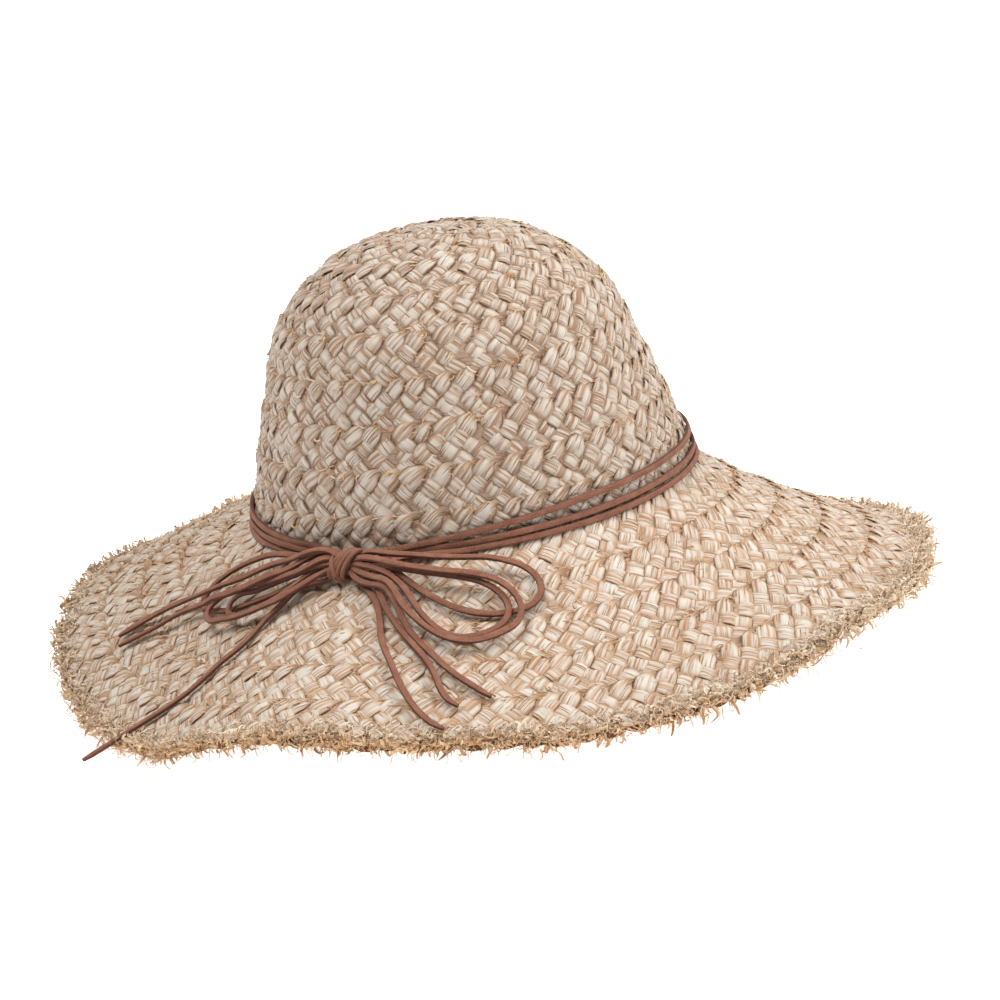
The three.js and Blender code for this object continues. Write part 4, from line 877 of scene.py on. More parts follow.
 "lace_tail_left_1":[(-63.26,-84.17,6.8),(-65.89,-82.64,7.63),(-68.79,-81.37,7.63),(-71.72,-80.32,7.04),(-74.63,-79.29,6.18),(-77.34,-78.03,5),(-79.94,-76.56,3.83),(-82.5,-74.83,2.95),(-85.01,-72.97,2.2),(-87.51,-71.12,1.46),(-90.07,-69.41,0.6),(-92.69,-67.89,-0.42),(-95.33,-66.49,-1.55),(-97.95,-65.1,-2.72),(-100.53,-63.63,-3.9),(-103.02,-61.98,-5.02),(-105.4,-60.12,-6.05),(-107.7,-58.14,-7.02),(-109.96,-56.1,-7.98),(-112.22,-54.09,-8.99),(-114.51,-52.13,-10.04),(-116.83,-50.23,-11.13),(-119.16,-48.35,-12.24),(-121.51,-46.5,-13.35),(-123.86,-44.65,-14.45),(-126.23,-42.79,-15.53),(-128.59,-40.94,-16.6),(-130.96,-39.09,-17.68),(-133.32,-37.25,-18.76),(-135.69,-35.41,-19.88),(-138.06,-33.61,-21.02),(-140.46,-31.86,-22.19),(-142.89,-30.19,-23.41),(-145.37,-28.63,-24.66),(-147.92,-27.21,-25.95),(-150.53,-25.94,-27.28),(-153.21,-24.85,-28.63),(-155.96,-23.96,-29.98),(-158.77,-23.29,-31.32),(-161.65,-22.87,-32.63),(-164.57,-22.71,-33.9)],
 "lace_tail_left_2":[(-62.03,-82.19,5.44),(-64.43,-80.27,6.08),(-67.36,-79.07,5.93),(-70.46,-78.67,5.24),(-73.34,-78.62,3.88),(-76.28,-78.79,2.62),(-79.25,-78.81,1.45),(-82.2,-78.42,0.31),(-85.12,-77.45,-0.51),(-87.99,-76.45,-1.2),(-90.73,-75.59,-1.81),(-93.37,-74.75,-2.64),(-95.98,-73.51,-3.85),(-98.56,-71.84,-5.14),(-101.02,-69.98,-6.38),(-103.54,-68.18,-7.46),(-106.09,-66.42,-8.37),(-108.52,-64.65,-9.44),(-110.94,-62.93,-10.45),(-113.35,-61.22,-11.39),(-115.88,-59.57,-12.14),(-118.37,-57.3,-12.91),(-120.21,-55.07,-14.85),(-122.31,-52.95,-16.29),(-124.52,-50.84,-17.46),(-126.78,-48.76,-18.5),(-129.1,-46.76,-19.51),(-131.48,-44.89,-20.56),(-133.95,-43.2,-21.71),(-136.49,-41.75,-23),(-139.07,-40.48,-24.38),(-141.66,-39.28,-25.8),(-144.25,-38.05,-27.19),(-146.83,-36.71,-28.51),(-149.4,-35.28,-29.76),(-151.98,-33.84,-30.94),(-154.62,-32.47,-32.1),(-157.34,-31.28,-33.26),(-160.15,-30.34,-34.43),(-163.05,-29.77,-35.63),(-164.51,-29.63,-36.24)],
 "lace_tail_left_3":[(-63.89,-87.36,-3.81),(-66.32,-87.14,-5.61),(-69.04,-86.12,-6.43),(-71.61,-84.72,-6.35),(-74.18,-83.47,-6.08),(-76.91,-82.72,-6.32),(-79.74,-82.5,-7.3),(-82.12,-83.02,-8.93),(-84.43,-83.82,-10.82),(-87.03,-84.4,-12.56),(-89.77,-84.89,-14.14),(-92.43,-85.65,-15.71),(-94.89,-86.84,-17.35),(-97.22,-88.27,-19),(-99.54,-89.73,-20.63),(-101.94,-91.09,-22.23),(-104.47,-92.21,-23.82),(-107.15,-92.95,-25.38),(-109.94,-93.3,-26.91),(-112.74,-93.5,-28.42),(-115.52,-93.82,-29.96),(-118.22,-94.46,-31.55),(-120.84,-95.34,-33.16),(-123.43,-96.28,-34.77),(-126.05,-97.14,-36.38),(-128.73,-97.81,-37.98),(-131.49,-98.16,-39.55),(-134.29,-98.16,-41.07),(-137.11,-97.89,-42.55),(-139.92,-97.46,-44),(-142.73,-96.96,-45.44),(-145.54,-96.42,-46.86),(-148.34,-95.82,-48.28),(-151.14,-95.17,-49.68),(-153.93,-94.49,-51.07),(-156.73,-93.8,-52.45),(-159.53,-93.15,-53.85),(-162.33,-92.58,-55.26),(-165.14,-92.08,-56.69),(-167.96,-91.62,-58.12),(-170.79,-91.18,-59.54),(-173.63,-90.74,-60.93),(-176.48,-90.25,-62.28),(-179.35,-89.7,-63.58),(-180.79,-89.39,-64.2)],
 "lace_band_upper":[(-48.91,-87.59,4.09),(-46.22,-89.28,4.09),(-43.11,-89.93,4.15),(-39.93,-89.87,4.22),(-36.74,-89.58,4.32),(-33.55,-89.46,4.51),(-30.41,-89.88,4.79),(-27.35,-90.78,5.13),(-24.29,-91.63,5.48),(-21.18,-92.24,5.81),(-18.03,-92.73,6.14),(-14.88,-93.17,6.47),(-11.72,-93.53,6.81),(-8.55,-93.77,7.15),(-5.38,-93.92,7.47),(-2.19,-93.98,7.76),(1,-93.94,8.02),(4.18,-93.81,8.27),(7.36,-93.58,8.51),(10.53,-93.26,8.75),(13.69,-92.83,9),(16.84,-92.31,9.25),(19.97,-91.69,9.49),(23.07,-90.97,9.74),(26.16,-90.16,9.98),(29.21,-89.25,10.23),(32.24,-88.24,10.48),(35.23,-87.14,10.72),(38.19,-85.95,10.97),(41.1,-84.65,11.24),(43.97,-83.27,11.48),(46.81,-81.81,11.65),(49.62,-80.27,11.75),(52.37,-78.65,11.84),(55.06,-76.93,11.92),(57.7,-75.13,12),(60.28,-73.24,12.08),(62.8,-71.27,12.16),(65.25,-69.21,12.25),(67.63,-67.08,12.33),(69.94,-64.87,12.41),(72.17,-62.58,12.5),(74.32,-60.21,12.58),(76.39,-57.78,12.66),(78.38,-55.28,12.74),(80.28,-52.7,12.84),(82.09,-50.07,12.92),(83.82,-47.38,12.96),(85.46,-44.63,12.97),(87,-41.83,12.98),(88.44,-38.98,13),(89.78,-36.07,13.02),(91.02,-33.12,13.03),(92.15,-30.13,13.05),(93.17,-27.1,13.07),(94.09,-24.04,13.08),(94.9,-20.94,13.1),(95.59,-17.82,13.11),(96.18,-14.68,13.13),(96.64,-11.52,13.15),(97,-8.34,13.16),(97.24,-5.15,13.18),(97.36,-1.95,13.19),(97.37,1.24,13.21),(97.27,4.44,13.22),(97.05,7.63,13.24),(96.71,10.81,13.25),(96.26,13.98,13.27),(95.69,17.12,13.28),(95.02,20.25,13.3),(94.23,23.35,13.32),(93.33,26.42,13.33),(92.32,29.45,13.34),(91.21,32.45,13.34),(89.99,35.41,13.33),(88.68,38.32,13.32),(87.25,41.19,13.31),(85.73,44,13.31),(84.11,46.76,13.3),(82.4,49.46,13.29),(80.59,52.1,13.28),(78.7,54.67,13.28),(76.72,57.18,13.27),(74.65,59.62,13.26),(72.5,61.99,13.25),(70.27,64.28,13.25),(67.97,66.5,13.24),(65.59,68.64,13.23),(63.15,70.7,13.22),(60.63,72.68,13.22),(58.06,74.57,13.21),(55.42,76.38,13.2),(52.72,78.1,13.19),(49.97,79.73,13.19),(47.17,81.27,13.18),(44.32,82.73,13.17),(41.42,84.08,13.17),(38.49,85.35,13.16),(35.51,86.52,13.15),(32.5,87.59,13.14),(29.45,88.57,13.14),(26.38,89.45,13.13),(23.28,90.24,13.12),(20.16,90.93,13.11),(17.01,91.52,13.08),(13.86,92.02,13.04),(10.68,92.41,13),(7.5,92.71,12.96),(4.31,92.91,12.92),(1.11,93.01,12.88),(-2.09,93.01,12.83),(-5.28,92.9,12.79),(-8.47,92.7,12.75),(-11.66,92.4,12.71),(-14.83,92,12.67),(-17.99,91.51,12.63),(-21.13,90.91,12.59),(-24.25,90.21,12.55),(-27.35,89.41,12.51),(-30.42,88.52,12.47),(-33.46,87.54,12.43),(-36.47,86.45,12.39),(-39.44,85.27,12.35),(-42.38,84,12.31),(-45.27,82.63,12.27),(-48.11,81.18,12.23),(-50.91,79.63,12.19),(-53.66,77.99,12.15),(-56.35,76.26,12.11),(-58.98,74.45,12.07),(-61.55,72.55,12.03),(-64.06,70.56,11.99),(-66.5,68.5,11.95),(-68.88,66.36,11.91),(-71.17,64.13,11.87),(-73.4,61.83,11.83),(-75.54,59.46,11.79),(-77.6,57.02,11.74),(-79.58,54.51,11.71),(-81.47,51.93,11.67),(-83.27,49.29,11.62),(-84.99,46.59,11.52),(-86.62,43.84,11.39),(-88.15,41.04,11.26),(-89.58,38.18,11.14),(-90.91,35.27,11.02),(-92.14,32.32,10.9),(-93.26,29.33,10.78),(-94.28,26.3,10.66),(-95.18,23.24,10.54),(-95.98,20.14,10.41),(-96.67,17.02,10.29),(-97.25,13.88,10.17),(-97.71,10.72,10.05),(-98.06,7.54,9.93),(-98.29,4.35,9.8),(-98.42,1.16,9.63),(-98.45,-2.03,9.43),(-98.36,-5.22,9.21),(-98.16,-8.4,9),(-97.84,-11.58,8.79),(-97.4,-14.74,8.58),(-96.86,-17.88,8.37),(-96.21,-21.01,8.16),(-95.44,-24.11,7.95),(-94.57,-27.18,7.74),(-93.59,-30.21,7.53),(-92.5,-33.21,7.31),(-91.31,-36.17,7.1),(-90.01,-39.09,6.89),(-88.62,-41.96,6.68),(-87.13,-44.79,6.47),(-85.54,-47.57,6.26),(-83.86,-50.29,6.05),(-82.08,-52.95,5.85),(-80.2,-55.56,5.67),(-78.26,-58.12,5.51),(-76.26,-60.62,5.36),(-74.1,-62.96,5.22),(-71.78,-65.19,5.13),(-69.7,-67.69,5.01),(-68.15,-70.53,4.8),(-66.86,-73.43,4.59),(-65.45,-76.19,4.31),(-63.5,-78.58,4.11),(-60.8,-80.2,4.09)],
 "lace_band_middle":[(-49.62,-88.74,1.75),(-46.95,-90.32,1.69),(-43.84,-90.74,1.65),(-40.68,-90.34,1.63),(-37.53,-89.77,1.66),(-34.3,-89.59,1.78),(-31.07,-90.17,2.15),(-27.95,-91.04,2.46),(-24.9,-91.79,2.68),(-21.81,-92.44,3.03),(-18.64,-93.02,3.28),(-15.47,-93.54,3.32),(-12.37,-94.03,3.31),(-9.21,-94.36,3.47),(-6.03,-94.57,3.66),(-2.83,-94.68,3.82),(0.36,-94.7,3.94),(3.56,-94.62,4.03),(6.76,-94.45,4.1),(9.94,-94.17,4.18),(13.12,-93.8,4.26),(16.29,-93.34,4.34),(19.44,-92.77,4.42),(22.57,-92.11,4.5),(25.68,-91.35,4.58),(28.76,-90.49,4.66),(31.81,-89.54,4.74),(34.84,-88.5,4.82),(37.83,-87.36,4.9),(40.78,-86.13,4.98),(43.69,-84.8,5.06),(46.56,-83.39,5.14),(49.39,-81.88,5.21),(52.16,-80.29,5.28),(54.88,-78.6,5.35),(57.55,-76.83,5.42),(60.16,-74.98,5.49),(62.7,-73.04,5.56),(65.19,-71.03,5.63),(67.6,-68.92,5.7),(69.94,-66.75,5.77),(72.21,-64.49,5.84),(74.41,-62.16,5.91),(76.52,-59.76,5.97),(78.56,-57.29,6.04),(80.51,-54.76,6.12),(82.37,-52.15,6.19),(84.14,-49.49,6.25),(85.83,-46.77,6.29),(87.42,-43.99,6.33),(88.92,-41.16,6.37),(90.31,-38.28,6.41),(91.61,-35.36,6.45),(92.8,-32.39,6.48),(93.89,-29.38,6.52),(94.87,-26.33,6.56),(95.74,-23.25,6.6),(96.51,-20.14,6.64),(97.16,-17.01,6.68),(97.7,-13.86,6.72),(98.13,-10.69,6.75),(98.45,-7.5,6.79),(98.65,-4.31,6.83),(98.74,-1.11,6.87),(98.71,2.09,6.91),(98.57,5.29,6.95),(98.32,8.48,6.98),(97.95,11.66,7.02),(97.47,14.82,7.06),(96.88,17.97,7.1),(96.18,21.09,7.14),(95.36,24.18,7.18),(94.44,27.25,7.22),(93.41,30.28,7.24),(92.29,33.28,7.24),(91.06,36.23,7.24),(89.72,39.14,7.24),(88.28,42,7.24),(86.75,44.81,7.23),(85.12,47.56,7.23),(83.4,50.26,7.23),(81.59,52.9,7.23),(79.68,55.47,7.23),(77.69,57.98,7.23),(75.62,60.42,7.23),(73.47,62.78,7.23),(71.24,65.08,7.23),(68.93,67.3,7.23),(66.55,69.44,7.22),(64.11,71.5,7.22),(61.59,73.49,7.22),(59.02,75.38,7.22),(56.38,77.2,7.22),(53.68,78.92,7.22),(50.93,80.56,7.22),(48.14,82.11,7.22),(45.29,83.58,7.22),(42.4,84.95,7.21),(39.46,86.22,7.21),(36.49,87.41,7.21),(33.48,88.49,7.21),(30.43,89.49,7.21),(27.36,90.39,7.21),(24.26,91.19,7.21),(21.14,91.9,7.2),(18,92.51,7.2),(14.84,93.02,7.18),(11.67,93.44,7.16),(8.48,93.75,7.15),(5.29,93.97,7.13),(2.09,94.09,7.11),(-1.11,94.12,7.1),(-4.31,94.04,7.08),(-7.5,93.86,7.06),(-10.69,93.59,7.05),(-13.87,93.21,7.03),(-17.04,92.74,7.01),(-20.19,92.17,7),(-23.32,91.51,6.98),(-26.42,90.74,6.97),(-29.51,89.88,6.95),(-32.56,88.93,6.93),(-35.58,87.87,6.92),(-38.57,86.73,6.9),(-41.52,85.49,6.89),(-44.43,84.16,6.87),(-47.3,82.73,6.85),(-50.12,81.22,6.84),(-52.89,79.62,6.82),(-55.61,77.92,6.8),(-58.27,76.14,6.79),(-60.87,74.28,6.77),(-63.41,72.33,6.76),(-65.88,70.31,6.74),(-68.29,68.2,6.72),(-70.63,66.01,6.71),(-72.89,63.74,6.69),(-75.07,61.41,6.68),(-77.18,59,6.66),(-79.21,56.52,6.64),(-81.14,53.97,6.63),(-83,51.36,6.62),(-84.76,48.69,6.58),(-86.44,45.97,6.5),(-88.02,43.19,6.42),(-89.51,40.35,6.34),(-90.89,37.47,6.27),(-92.18,34.54,6.19),(-93.36,31.57,6.12),(-94.44,28.55,6.04),(-95.41,25.5,5.96),(-96.28,22.42,5.89),(-97.03,19.31,5.81),(-97.67,16.18,5.74),(-98.21,13.02,5.66),(-98.63,9.85,5.58),(-98.94,6.67,5.51),(-99.13,3.47,5.42),(-99.22,0.28,5.31),(-99.19,-2.92,5.17),(-99.06,-6.12,5.04),(-98.81,-9.3,4.9),(-98.44,-12.48,4.77),(-97.97,-15.65,4.64),(-97.38,-18.79,4.5),(-96.69,-21.92,4.37),(-95.88,-25.02,4.24),(-94.96,-28.09,4.12),(-93.94,-31.14,3.97),(-92.82,-34.15,3.83),(-91.6,-37.14,3.72),(-90.28,-40.07,3.74),(-88.86,-43.01,3.78),(-87.32,-45.88,3.64),(-85.7,-48.63,3.47),(-83.98,-51.3,3.35),(-82.15,-53.92,3.24),(-80.21,-56.46,3.09),(-78.21,-58.96,2.93),(-76.13,-61.38,2.77),(-73.89,-63.64,2.64),(-71.6,-65.91,2.57),(-69.56,-68.41,2.41),(-68.29,-71.35,2.21),(-67.28,-74.33,2.03),(-66.08,-77.21,1.87),(-64.22,-79.73,1.75),(-61.51,-81.36,1.75)],
 "lace_band_lower":[(-50.34,-89.89,-0.58),(-47.62,-91.72,-0.6),(-44.49,-92.53,-0.29),(-41.28,-92.61,0.11),(-38.16,-92.36,0.58),(-35.11,-92.09,1.02),(-32.1,-92.42,1.23),(-29.02,-93.18,1.27),(-25.9,-93.89,1.27),(-22.71,-94.27,1.27),(-19.52,-94.44,1.15),(-16.37,-94.62,0.99),(-13.21,-94.9,0.8),(-10.03,-95.13,0.7),(-6.84,-95.25,0.75),(-3.64,-95.3,0.84),(-0.44,-95.31,0.93),(2.76,-95.24,0.99),(5.96,-95.08,1.01),(9.15,-94.83,1.04),(12.34,-94.49,1.08),(15.51,-94.06,1.12),(18.67,-93.52,1.15),(21.81,-92.9,1.19),(24.93,-92.17,1.22),(28.03,-91.36,1.26),(31.1,-90.44,1.3),(34.13,-89.44,1.34),(37.14,-88.33,1.37),(40.11,-87.14,1.41),(43.04,-85.85,1.45),(45.93,-84.47,1.49),(48.78,-83,1.54),(51.57,-81.44,1.6),(54.32,-79.79,1.66),(57.01,-78.05,1.73),(59.64,-76.23,1.79),(62.21,-74.33,1.85),(64.72,-72.34,1.91),(67.17,-70.27,1.98),(69.54,-68.12,2.04),(71.85,-65.9,2.1),(74.08,-63.6,2.17),(76.23,-61.23,2.23),(78.3,-58.79,2.29),(80.29,-56.28,2.35),(82.19,-53.71,2.42),(84.01,-51.07,2.48),(85.74,-48.37,2.53),(87.37,-45.62,2.57),(88.92,-42.82,2.6),(90.36,-39.96,2.64),(91.71,-37.05,2.68),(92.95,-34.1,2.72),(94.09,-31.11,2.76),(95.13,-28.08,2.8),(96.06,-25.01,2.84),(96.88,-21.92,2.88),(97.59,-18.8,2.91),(98.19,-15.65,2.95),(98.68,-12.49,2.99),(99.06,-9.31,3.03),(99.33,-6.12,3.07),(99.48,-2.92,3.1),(99.52,0.28,3.14),(99.44,3.48,3.18),(99.25,6.68,3.22),(98.95,9.87,3.26),(98.54,13.04,3.3),(98.02,16.2,3.33),(97.38,19.34,3.37),(96.63,22.45,3.41),(95.77,25.54,3.45),(94.81,28.59,3.48),(93.75,31.61,3.5),(92.58,34.6,3.49),(91.31,37.54,3.49),(89.94,40.43,3.49),(88.47,43.28,3.49),(86.9,46.07,3.49),(85.24,48.81,3.49),(83.49,51.49,3.49),(81.64,54.1,3.49),(79.71,56.66,3.49),(77.7,59.15,3.49),(75.6,61.57,3.48),(73.42,63.92,3.48),(71.17,66.19,3.48),(68.84,68.39,3.48),(66.44,70.51,3.48),(63.97,72.55,3.48),(61.44,74.51,3.48),(58.85,76.39,3.48),(56.2,78.19,3.48),(53.49,79.9,3.47),(50.73,81.52,3.47),(47.91,83.05,3.47),(45.05,84.49,3.47),(42.15,85.84,3.47),(39.2,87.1,3.47),(36.22,88.26,3.47),(33.2,89.34,3.47),(30.16,90.31,3.47),(27.08,91.2,3.47),(23.97,91.98,3.46),(20.85,92.67,3.46),(17.7,93.27,3.45),(14.54,93.77,3.44),(11.36,94.17,3.43),(8.17,94.47,3.42),(4.97,94.68,3.41),(1.77,94.78,3.4),(-1.43,94.79,3.39),(-4.63,94.7,3.38),(-7.83,94.51,3.36),(-11.02,94.23,3.35),(-14.2,93.84,3.34),(-17.36,93.36,3.33),(-20.51,92.79,3.32),(-23.64,92.11,3.31),(-26.75,91.34,3.3),(-29.83,90.47,3.29),(-32.89,89.51,3.28),(-35.91,88.45,3.27),(-38.9,87.3,3.26),(-41.85,86.06,3.24),(-44.76,84.72,3.23),(-47.63,83.29,3.22),(-50.45,81.78,3.21),(-53.22,80.17,3.2),(-55.94,78.48,3.19),(-58.6,76.7,3.18),(-61.2,74.83,3.17),(-63.74,72.88,3.16),(-66.22,70.86,3.15),(-68.63,68.75,3.14),(-70.97,66.56,3.13),(-73.24,64.3,3.12),(-75.43,61.96,3.11),(-77.54,59.55,3.09),(-79.57,57.08,3.08),(-81.51,54.53,3.07),(-83.37,51.92,3.07),(-85.14,49.26,3.04),(-86.83,46.53,2.98),(-88.42,43.76,2.91),(-89.91,40.92,2.85),(-91.31,38.04,2.78),(-92.6,35.11,2.72),(-93.8,32.14,2.66),(-94.89,29.13,2.6),(-95.87,26.09,2.53),(-96.75,23.01,2.47),(-97.52,19.9,2.41),(-98.18,16.76,2.34),(-98.72,13.61,2.28),(-99.16,10.44,2.22),(-99.48,7.25,2.15),(-99.69,4.06,2.08),(-99.8,0.86,1.98),(-99.79,-2.34,1.85),(-99.68,-5.54,1.71),(-99.45,-8.73,1.58),(-99.11,-11.92,1.45),(-98.65,-15.09,1.32),(-98.09,-18.25,1.19),(-97.42,-21.39,1.05),(-96.63,-24.52,0.94),(-95.73,-27.63,0.85),(-94.78,-30.73,0.72),(-93.78,-33.82,0.59),(-92.46,-36.75,0.65),(-90.83,-39.45,1),(-89.29,-42.23,1.18),(-87.82,-45.03,1.09),(-86.29,-47.82,0.9),(-84.67,-50.58,0.77),(-82.95,-53.29,0.67),(-81.19,-55.99,0.6),(-79.35,-58.64,0.48),(-77.46,-61.3,0.41),(-75.36,-63.82,0.34),(-73.15,-66.14,0.35),(-71.15,-68.38,0.25),(-69.66,-70.91,-0.07),(-68.58,-73.79,-0.29),(-67.5,-76.78,-0.46),(-66.01,-79.55,-0.63),(-63.63,-81.67,-0.77),(-62.23,-82.51,-0.58)],
}
KNOT = np.array((-57.17033,-87.62860,1.89770))
K_T, K_V, K_W = np.array((0.84953,-0.52754,0.00000)), np.array((0.26515,0.42699,0.86451)), np.array((-0.45606,-0.73442,0.50262))
LACE_W, LACE_T = 2.65, 1.45


def spline(points, step=0.8):
    P = np.array(points, float)
    Q = np.concatenate([[2 * P[0] - P[1]], P, [2 * P[-1] - P[-2]]])
    out = []
    for i in range(1, len(Q) - 2):
        p0, p1, p2, p3 = Q[i - 1], Q[i], Q[i + 1], Q[i + 2]
        d0, d1, d2 = (max(1e-6, np.linalg.norm(b - a)) for a, b in ((p0, p1), (p1, p2), (p2, p3)))
        m1 = (p2 - p1) / d1 - (p2 - p0) / (d0 + d1) + (p1 - p0) / d0
        m2 = (p3 - p2) / d2 - (p3 - p1) / (d1 + d2) + (p2 - p1) / d1
        m1, m2 = m1 * d1, m2 * d1
        t = np.linspace(0, 1, max(2, int(round(d1 / 0.4))) + 1)[:-1, None]
        out.append((2 * t ** 3 - 3 * t ** 2 + 1) * p1 + (t ** 3 - 2 * t ** 2 + t) * m1 + (-2 * t ** 3 + 3 * t ** 2) * p2 + (t ** 3 - t ** 2) * m2)
    out.append(P[-1:])
    F = np.concatenate(out)
    for _ in range(90):
        F[1:-1] = 0.25 * F[:-2] + 0.5 * F[1:-1] + 0.25 * F[2:]
    d = np.concatenate([[0], np.cumsum(np.linalg.norm(np.diff(F, axis=0), axis=1))])
    n = max(8, int(d[-1] / step))
    s = np.linspace(0, d[-1], n + 1)
    return np.stack([np.interp(s, d, F[:, k]) for k in range(3)], 1)


def hat_up(P):
    """The hat's own normal near each point."""
    ph = np.arctan2(P[:, 1] / OVAL_Y, P[:, 0] / OVAL_X)
    r = np.hypot(P[:, 0] / OVAL_X, P[:, 1] / OVAL_Y)
    a = np.where(r > 99.5, -(r - 96) / 0.88, np.clip(P[:, 2], 0, 30))
    return sample(GRID_N, ph, np.clip(a, -115, 60))


SECTION = [(-1.0, 0.0), (-1.0, 0.55), (-0.94, 0.85), (-0.80, 1.0), (0.0, 1.03), (0.80, 1.0), (0.94, 0.85), (1.0, 0.55),
           (1.0, 0.0), (1.0, -0.55), (0.94, -0.85), (0.80, -1.0), (0.0, -1.03), (-0.80, -1.0), (-0.94, -0.85), (-1.0, -0.55)]


ROUND = [(-math.cos(i / 16 * TAU), math.sin(i / 16 * TAU)) for i in range(16)]


def lace(name, P, rng, up=None, w=LACE_W, t=LACE_T, taper_end=False, closed=False, section=SECTION):
    n = len(P)
    if closed:
        T = np.roll(P, -1, 0) - np.roll(P, 1, 0)
    else:
        T = np.gradient(P, axis=0)
    T /= np.linalg.norm(T, axis=1, keepdims=True) + 1e-9
    U = hat_up(P) if up is None else up
    for _ in range(30):
        if closed:
            U = (np.roll(U, 1, 0) + 2 * U + np.roll(U, -1, 0)) / 4
        else:
            U[1:-1] = (U[:-2] + 2 * U[1:-1] + U[2:]) / 4
    U = U - (U * T).sum(1, keepdims=True) * T
    U /= np.linalg.norm(U, axis=1, keepdims=True) + 1e-9
    S = np.cross(T, U)
    sec = np.array(section)
    m = len(sec)
    def wob(cells, amp):
        x = np.linspace(0, 1, n)
        k = rng.standard_normal(cells + 2)
        return amp * np.interp(x * cells, np.arange(cells + 2), k)
    cells = max(4, n // 9)
    ww = w / 2 * (1 + wob(cells, 0.035))
    tt = t / 2 * (1 + wob(cells, 0.045))
    roll = wob(max(3, n // 30), 0.16)
    if closed:
        roll = np.zeros(n)
    Sr = S * np.cos(roll)[:, None] + U * np.sin(roll)[:, None]
    Ur = U * np.cos(roll)[:, None] - S * np.sin(roll)[:, None]
    if taper_end:
        s_end = np.arange(n)[::-1] * 0.8
        k = np.clip(s_end / 5.0, 0, 1)
        ww = ww * (0.45 + 0.55 * k)
    rough = 1 + 0.030 * rng.standard_normal((n, m))
    rows = max(1, int(round(math.sqrt(n * 0.8 / 10.0))))
    UV = [strip_uvs(n, m, closed, 0, n, rows)]
    if not closed:
        q = np.arange(m) / m * TAU
        for k in (0, 1):
            UV.append(np.stack([0.5 + 0.4 * k * 0 + 0.002 * np.cos(q) + 0.01 * k, 0.0012 + 0.001 * np.sin(q)], -1)[None])
    V = P[:, None] + Sr[:, None] * (ww[:, None] * sec[None, :, 0] * rough)[..., None] + Ur[:, None] * (tt[:, None] * sec[None, :, 1] * rough)[..., None]
    F = [strip_faces(0, n, m, closed)]
    if not closed:
        F.append(np.arange(m)[None][:, ::-1])
        F.append(np.arange(m)[None] + (n - 1) * m)
    d = np.concatenate([[0], np.cumsum(np.linalg.norm(np.diff(P, axis=0), axis=1))])
    q = np.arange(m) / m
    fib = np.stack([np.repeat(d[:, None], m, 1) + rng.random() * 500, np.repeat(q[None] * 9.0, n, 0), np.full((n, m), rng.random() * 40)], -1)
    # painted shade: the lace's sides and its underside are darkened
    painted_shade = np.repeat(np.clip((np.abs(sec[:, 0]) - 0.80) / 0.18, 0, 1)[None] * 0.85, n, 0)
    painted_shade[:, sec[:, 1] < -0.2] += 0.25
    return V.reshape(-1, 3), F, fib.reshape(-1, 3), np.clip(painted_shade, 0, 1).reshape(-1), UV


def laces():
    seeds = np.random.SeedSequence(404).spawn(20)
    for i, (name, pts) in enumerate(ROUTES.items()):
        rng = np.random.default_rng(seeds[i])
        pts = np.array(pts)
        # run a little way into the knot, and leave it in one easy curve
        d = np.concatenate([[0], np.cumsum(np.linalg.norm(np.diff(pts, axis=0), axis=1))])
        keep = (d < 0.1) | (d > 11.5)
        start = KNOT + (pts[0] - KNOT) * 0.50
        if not name.startswith("lace_tail"):
            keep &= (d < d[-1] - 11.5) | (d > d[-1] - 0.1)
            end = [KNOT + (pts[-1] - KNOT) * 0.50]
        else:
            end = np.zeros((0, 3))
        pts = np.concatenate([[start], pts[keep], end])
        P = spline(pts)
        V, F, fib, painted_shade, UV = lace(name, P, rng, taper_end=name.startswith("lace_tail"))
        o = new_object("suede_" + name, V * MM, F, SUEDE, {"fib": fib, "painted_shade": painted_shade}, uvs=UV)
        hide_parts(name)
        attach(o, "lace_band")
        if not name.startswith("lace_band"):
            keep = P[::3] if (len(P) - 1) % 3 == 0 else np.concatenate([P[::3], P[-1:]])


laces()


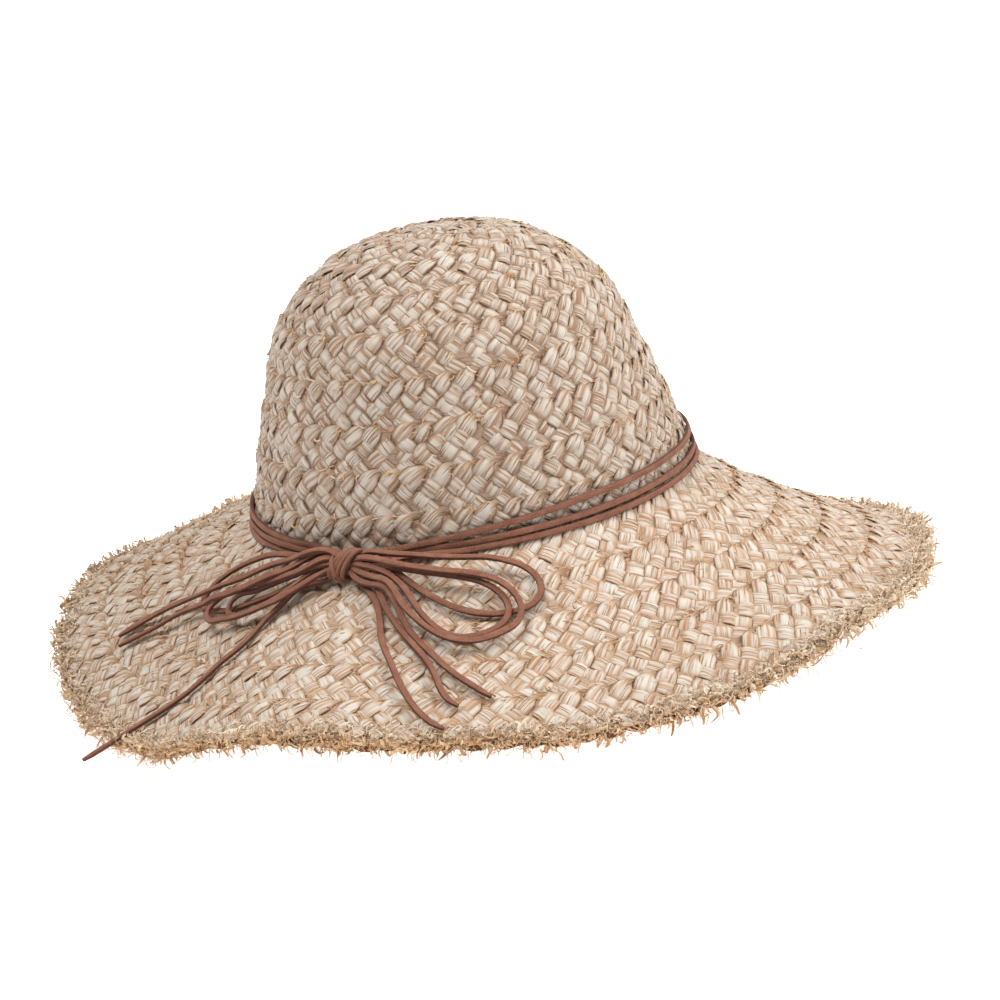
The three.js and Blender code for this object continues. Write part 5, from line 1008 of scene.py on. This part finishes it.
def knot():
    rng = np.random.default_rng(818)
    V, F, fibs, painted_shade_parts = [], [], [], []
    base = 0

    def put(v, f, fib, painted_shade, uv):
        nonlocal base
        V.append(v)
        F.extend(x + base for x in f)
        fibs.append(fib)
        painted_shade_parts.append(painted_shade)
        base += len(v)

    n = 60
    q = np.arange(n) / n * TAU
    # four turns of lace wrapped side by side round the gathered strands
    for k, s in enumerate((-3.0, -1.0, 1.0, 3.0)):
        av, aw = 6.0 - 0.20 * abs(k - 1.5), 4.9 - 0.15 * abs(k - 1.5)
        slant = 0.66
        cv, cw = np.cos(q), np.sin(q)
        vv, wv = av * np.sign(cv) * np.abs(cv) ** 0.9, aw * np.sign(cw) * np.abs(cw) ** 0.9
        C = KNOT + K_T[None] * (s + slant * vv * 0.9 + 0.25 * np.sin(2 * q + k))[:, None] + K_V[None] * (vv - 1.0)[:, None] + K_W[None] * wv[:, None]
        U = K_V[None] * (np.cos(q) / av)[:, None] + K_W[None] * (np.sin(q) / aw)[:, None]
        U = U / np.linalg.norm(U, axis=1, keepdims=True)
        put(*lace("k", C, rng, up=U.copy(), w=2.15, t=2.2, closed=True, section=ROUND))
    # the strand that crosses under the wraps at the lower left
    t = np.linspace(0, 1, 26)
    C = KNOT + K_T[None] * (-4.9 + 2.6 * t)[:, None] + K_V[None] * (1.5 - 8.2 * t)[:, None] + K_W[None] * (2.0 + 2.9 * np.sin(math.pi * (0.15 + 0.75 * t)))[:, None]
    U = np.repeat(K_W[None], len(t), 0) - 0.3 * K_T[None]
    put(*lace("k", C, rng, up=U.copy(), w=2.5, t=1.7))
    o = new_object("suede_bow_knot", np.concatenate(V) * MM, F, SUEDE, {"fib": np.concatenate(fibs), "painted_shade": np.concatenate(painted_shade_parts)})
    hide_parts("bow_knot")
    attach(o, "lace_band")


knot()


# ------------------------------------------------------------- the studio
def studio():
    lo = float(CAD_BOUNDS[0][2]) - 0.004
    me = bpy.data.meshes.new("floor")
    n = 96
    r = 14.0
    vs = [(0, 0, lo)] + [(r * math.cos(i / n * TAU), r * math.sin(i / n * TAU), lo) for i in range(n)]
    me.from_pydata(vs, [], [(0, i + 1, (i + 1) % n + 1) for i in range(n)])
    floor = bpy.data.objects.new("floor", me)
    bpy.context.collection.objects.link(floor)
    mat, nt, bsdf = nodes_of("floor")
    bsdf.inputs["Base Color"].default_value = (0.90, 0.90, 0.90, 1)
    bsdf.inputs["Emission Color"].default_value = (1, 1, 1, 1)
    bsdf.inputs["Emission Strength"].default_value = 0.80
    bsdf.inputs["Roughness"].default_value = 0.9
    bsdf.inputs["Specular IOR Level"].default_value = 0.1
    me.materials.append(mat)

    world = bpy.data.worlds.new("studio")
    bpy.context.scene.world = world
    world.use_nodes = True
    bg = world.node_tree.nodes["Background"]
    bg.inputs[0].default_value = (1.0, 0.965, 0.925, 1)
    bg.inputs[1].default_value = 0.225
    wt = world.node_tree
    seen = wt.nodes.new("ShaderNodeBackground")
    seen.inputs[0].default_value = (1.0, 1.0, 1.0, 1)
    seen.inputs[1].default_value = 1.0
    ray = wt.nodes.new("ShaderNodeLightPath")
    pick = wt.nodes.new("ShaderNodeMixShader")
    wt.links.new(ray.outputs["Is Camera Ray"], pick.inputs[0])
    wt.links.new(bg.outputs[0], pick.inputs[1])
    wt.links.new(seen.outputs[0], pick.inputs[2])
    wt.links.new(pick.outputs[0], wt.nodes["World Output"].inputs["Surface"])

    def area(name, loc, target, size, power, color=(1, 1, 1)):
        d = bpy.data.lights.new(name, "AREA")
        d.shape = "RECTANGLE"
        d.size, d.size_y = size
        d.energy = power
        d.color = color
        ob = bpy.data.objects.new(name, d)
        ob.location = loc
        ob.rotation_euler = (Vector(target) - Vector(loc)).to_track_quat("-Z", "Y").to_euler()
        bpy.context.collection.objects.link(ob)

    area("key", (1.8, -0.35, 1.35), (0, 0, 0), (1.0, 0.8), 40, (1.0, 0.995, 0.985))
    area("back", (0.2, 1.5, 1.6), (0, 0, 0.05), (1.4, 0.8), 4)
    area("top", (-0.50, -0.30, 2.15), (0, 0, 0), (1.6, 1.4), 54, (1.0, 1.0, 0.99))

    sc = bpy.context.scene
    sc.view_settings.view_transform = "Standard"
    sc.view_settings.look = "None"
    sc.view_settings.exposure = 0.0
    sc.view_settings.gamma = 1.0


studio()
